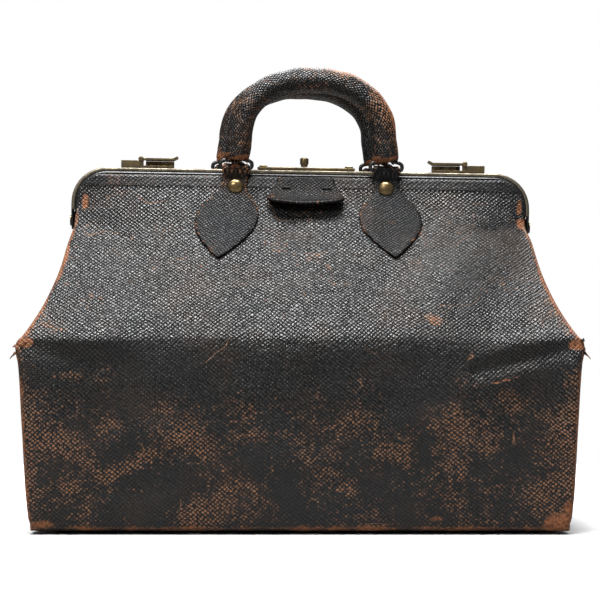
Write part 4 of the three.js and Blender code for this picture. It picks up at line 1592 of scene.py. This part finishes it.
def lining():
    """A loose cloth bag inside, open at the top."""
    wrinkles = waves(81, 16, 18, 60)
    heights = np.concatenate([[LINING_FLOOR, 11.2, 13], np.linspace(18, LINING_TOP, 60)])
    corner = [(1, -1), (1, 1), (-1, 1), (-1, -1)]
    rings = []
    for z in heights:
        level = max(float(z), 12)
        depth = float(middle_depth(level)) - 7.6
        length = float(body_length(level)) - 8.8
        fold = GUSSET_FOLD * float(smoothstep(EAR_HEIGHT - 4, 216, level))
        inset = 4 * max(0.0, 1 - (z - LINING_FLOOR) / 2.3) ** 2
        ring = []
        for k in range(LINING_SIDES):
            t = 4 * k / LINING_SIDES
            run = t % 1
            a, b = corner[int(t)], corner[(int(t) + 1) % 4]
            u = a[0] + (b[0] - a[0]) * run
            v = a[1] + (b[1] - a[1]) * run
            x = u * (length - inset - fold * (1 - abs(v)) * (1 if abs(u) == 1 else 0))
            share = abs(u) ** END_POWER
            drawn = depth * (1 - share) + (float(end_depth(level)) - 9) * share
            y = v * (drawn - inset)
            ripple = 0.8 * float(wrinkles(x + 0.7 * y, z)) * min(1.0, (z - LINING_FLOOR) / 30)
            inwards = 0.8 + ripple
            ring.append((x - math.copysign(inwards, x), y - math.copysign(inwards, y), z))
        rings.append(ring)
    points = np.array(rings).reshape(-1, 3)
    faces = [list(range(LINING_SIDES))]
    for r in range(len(rings) - 1):
        lower, upper = r * LINING_SIDES, (r + 1) * LINING_SIDES
        for k in range(LINING_SIDES):
            n = (k + 1) % LINING_SIDES
            faces.append([lower + k, lower + n, upper + n, upper + k])
    thing = mesh_object("cloth_lining", points, faces, [LINING])
    thick = thing.modifiers.new("cloth", "SOLIDIFY")
    thick.thickness = 0.9 * MM
    thick.offset = 0
    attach(thing, "bag")
    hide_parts("lining")


lining()


# ---- stage, lights and camera ------------------------------------------------------------------


def pale_floor():
    """White to the eye, and a dimmer grey in what the bag reflects."""
    g = Graph("pale_floor")
    seen = g.tree.nodes.new("ShaderNodeLightPath").outputs["Is Camera Ray"]
    g.surface(base_color=g.mix(seen, (0.32, 0.312, 0.305), (0.95, 0.95, 0.95)))
    g.shader.inputs["Roughness"].default_value = 0.8
    return g.material


def floor():
    turns = np.linspace(0, 2 * math.pi, 96, endpoint=False)
    points = [(FLOOR_RADIUS * math.cos(t), FLOOR_RADIUS * math.sin(t), 0) for t in turns]
    thing = mesh_object("floor", points, [list(range(len(points)))], [pale_floor()])


def softbox(name, place, aim, size, power):
    data = bpy.data.lights.new(name, "AREA")
    data.shape = "RECTANGLE"
    data.size, data.size_y = size
    data.energy = power
    lamp = bpy.data.objects.new(name, data)
    lamp.location = place
    lamp.rotation_euler = (Vector(aim) - Vector(place)).to_track_quat("-Z", "Y").to_euler()
    bpy.context.scene.collection.objects.link(lamp)


def studio():
    """A white surround, a large softbox overhead and a weaker one in front."""
    world = bpy.data.worlds.new("surround")
    bpy.context.scene.world = world
    world.use_nodes = True
    tree = world.node_tree
    tree.nodes.clear()
    output = tree.nodes.new("ShaderNodeOutputWorld")
    seen, lighting = (tree.nodes.new("ShaderNodeBackground") for _ in range(2))
    seen.inputs["Color"].default_value = (1, 1, 1, 1)
    seen.inputs["Strength"].default_value = 1.0
    lighting.inputs["Color"].default_value = (1, 1, 1, 1)
    lighting.inputs["Strength"].default_value = 0.16
    path = tree.nodes.new("ShaderNodeLightPath")
    mixed = tree.nodes.new("ShaderNodeMixShader")
    tree.links.new(path.outputs["Is Camera Ray"], mixed.inputs[0])
    tree.links.new(lighting.outputs[0], mixed.inputs[1])
    tree.links.new(seen.outputs[0], mixed.inputs[2])
    tree.links.new(mixed.outputs[0], output.inputs[0])
    softbox("overhead", (-0.1, -0.25, 1.4), (0, -0.05, 0.1), (0.9, 0.45), 45)
    softbox("front", (-1.0, -2.0, 1.6), (0, 0, 0.15), (0.6, 0.5), 20)
    softbox("back", (0.2, 1.8, 1.6), (0, 0.3, 0.0), (1.6, 1.0), 46)
    bpy.context.scene.view_settings.view_transform = "Standard"


def camera():
    """A long lens, level with the middle of the body."""
    data = bpy.data.cameras.new("camera")
    data.lens = 148.4
    data.sensor_width = 36
    eye = bpy.data.objects.new("camera", data)
    eye.location = (0, -1.91, 0.17)
    eye.rotation_euler = (math.radians(90), 0, 0)
    data.shift_y = 0.005
    data.clip_end = 50
    bpy.context.scene.collection.objects.link(eye)
    bpy.context.scene.camera = eye


floor()
studio()
camera()
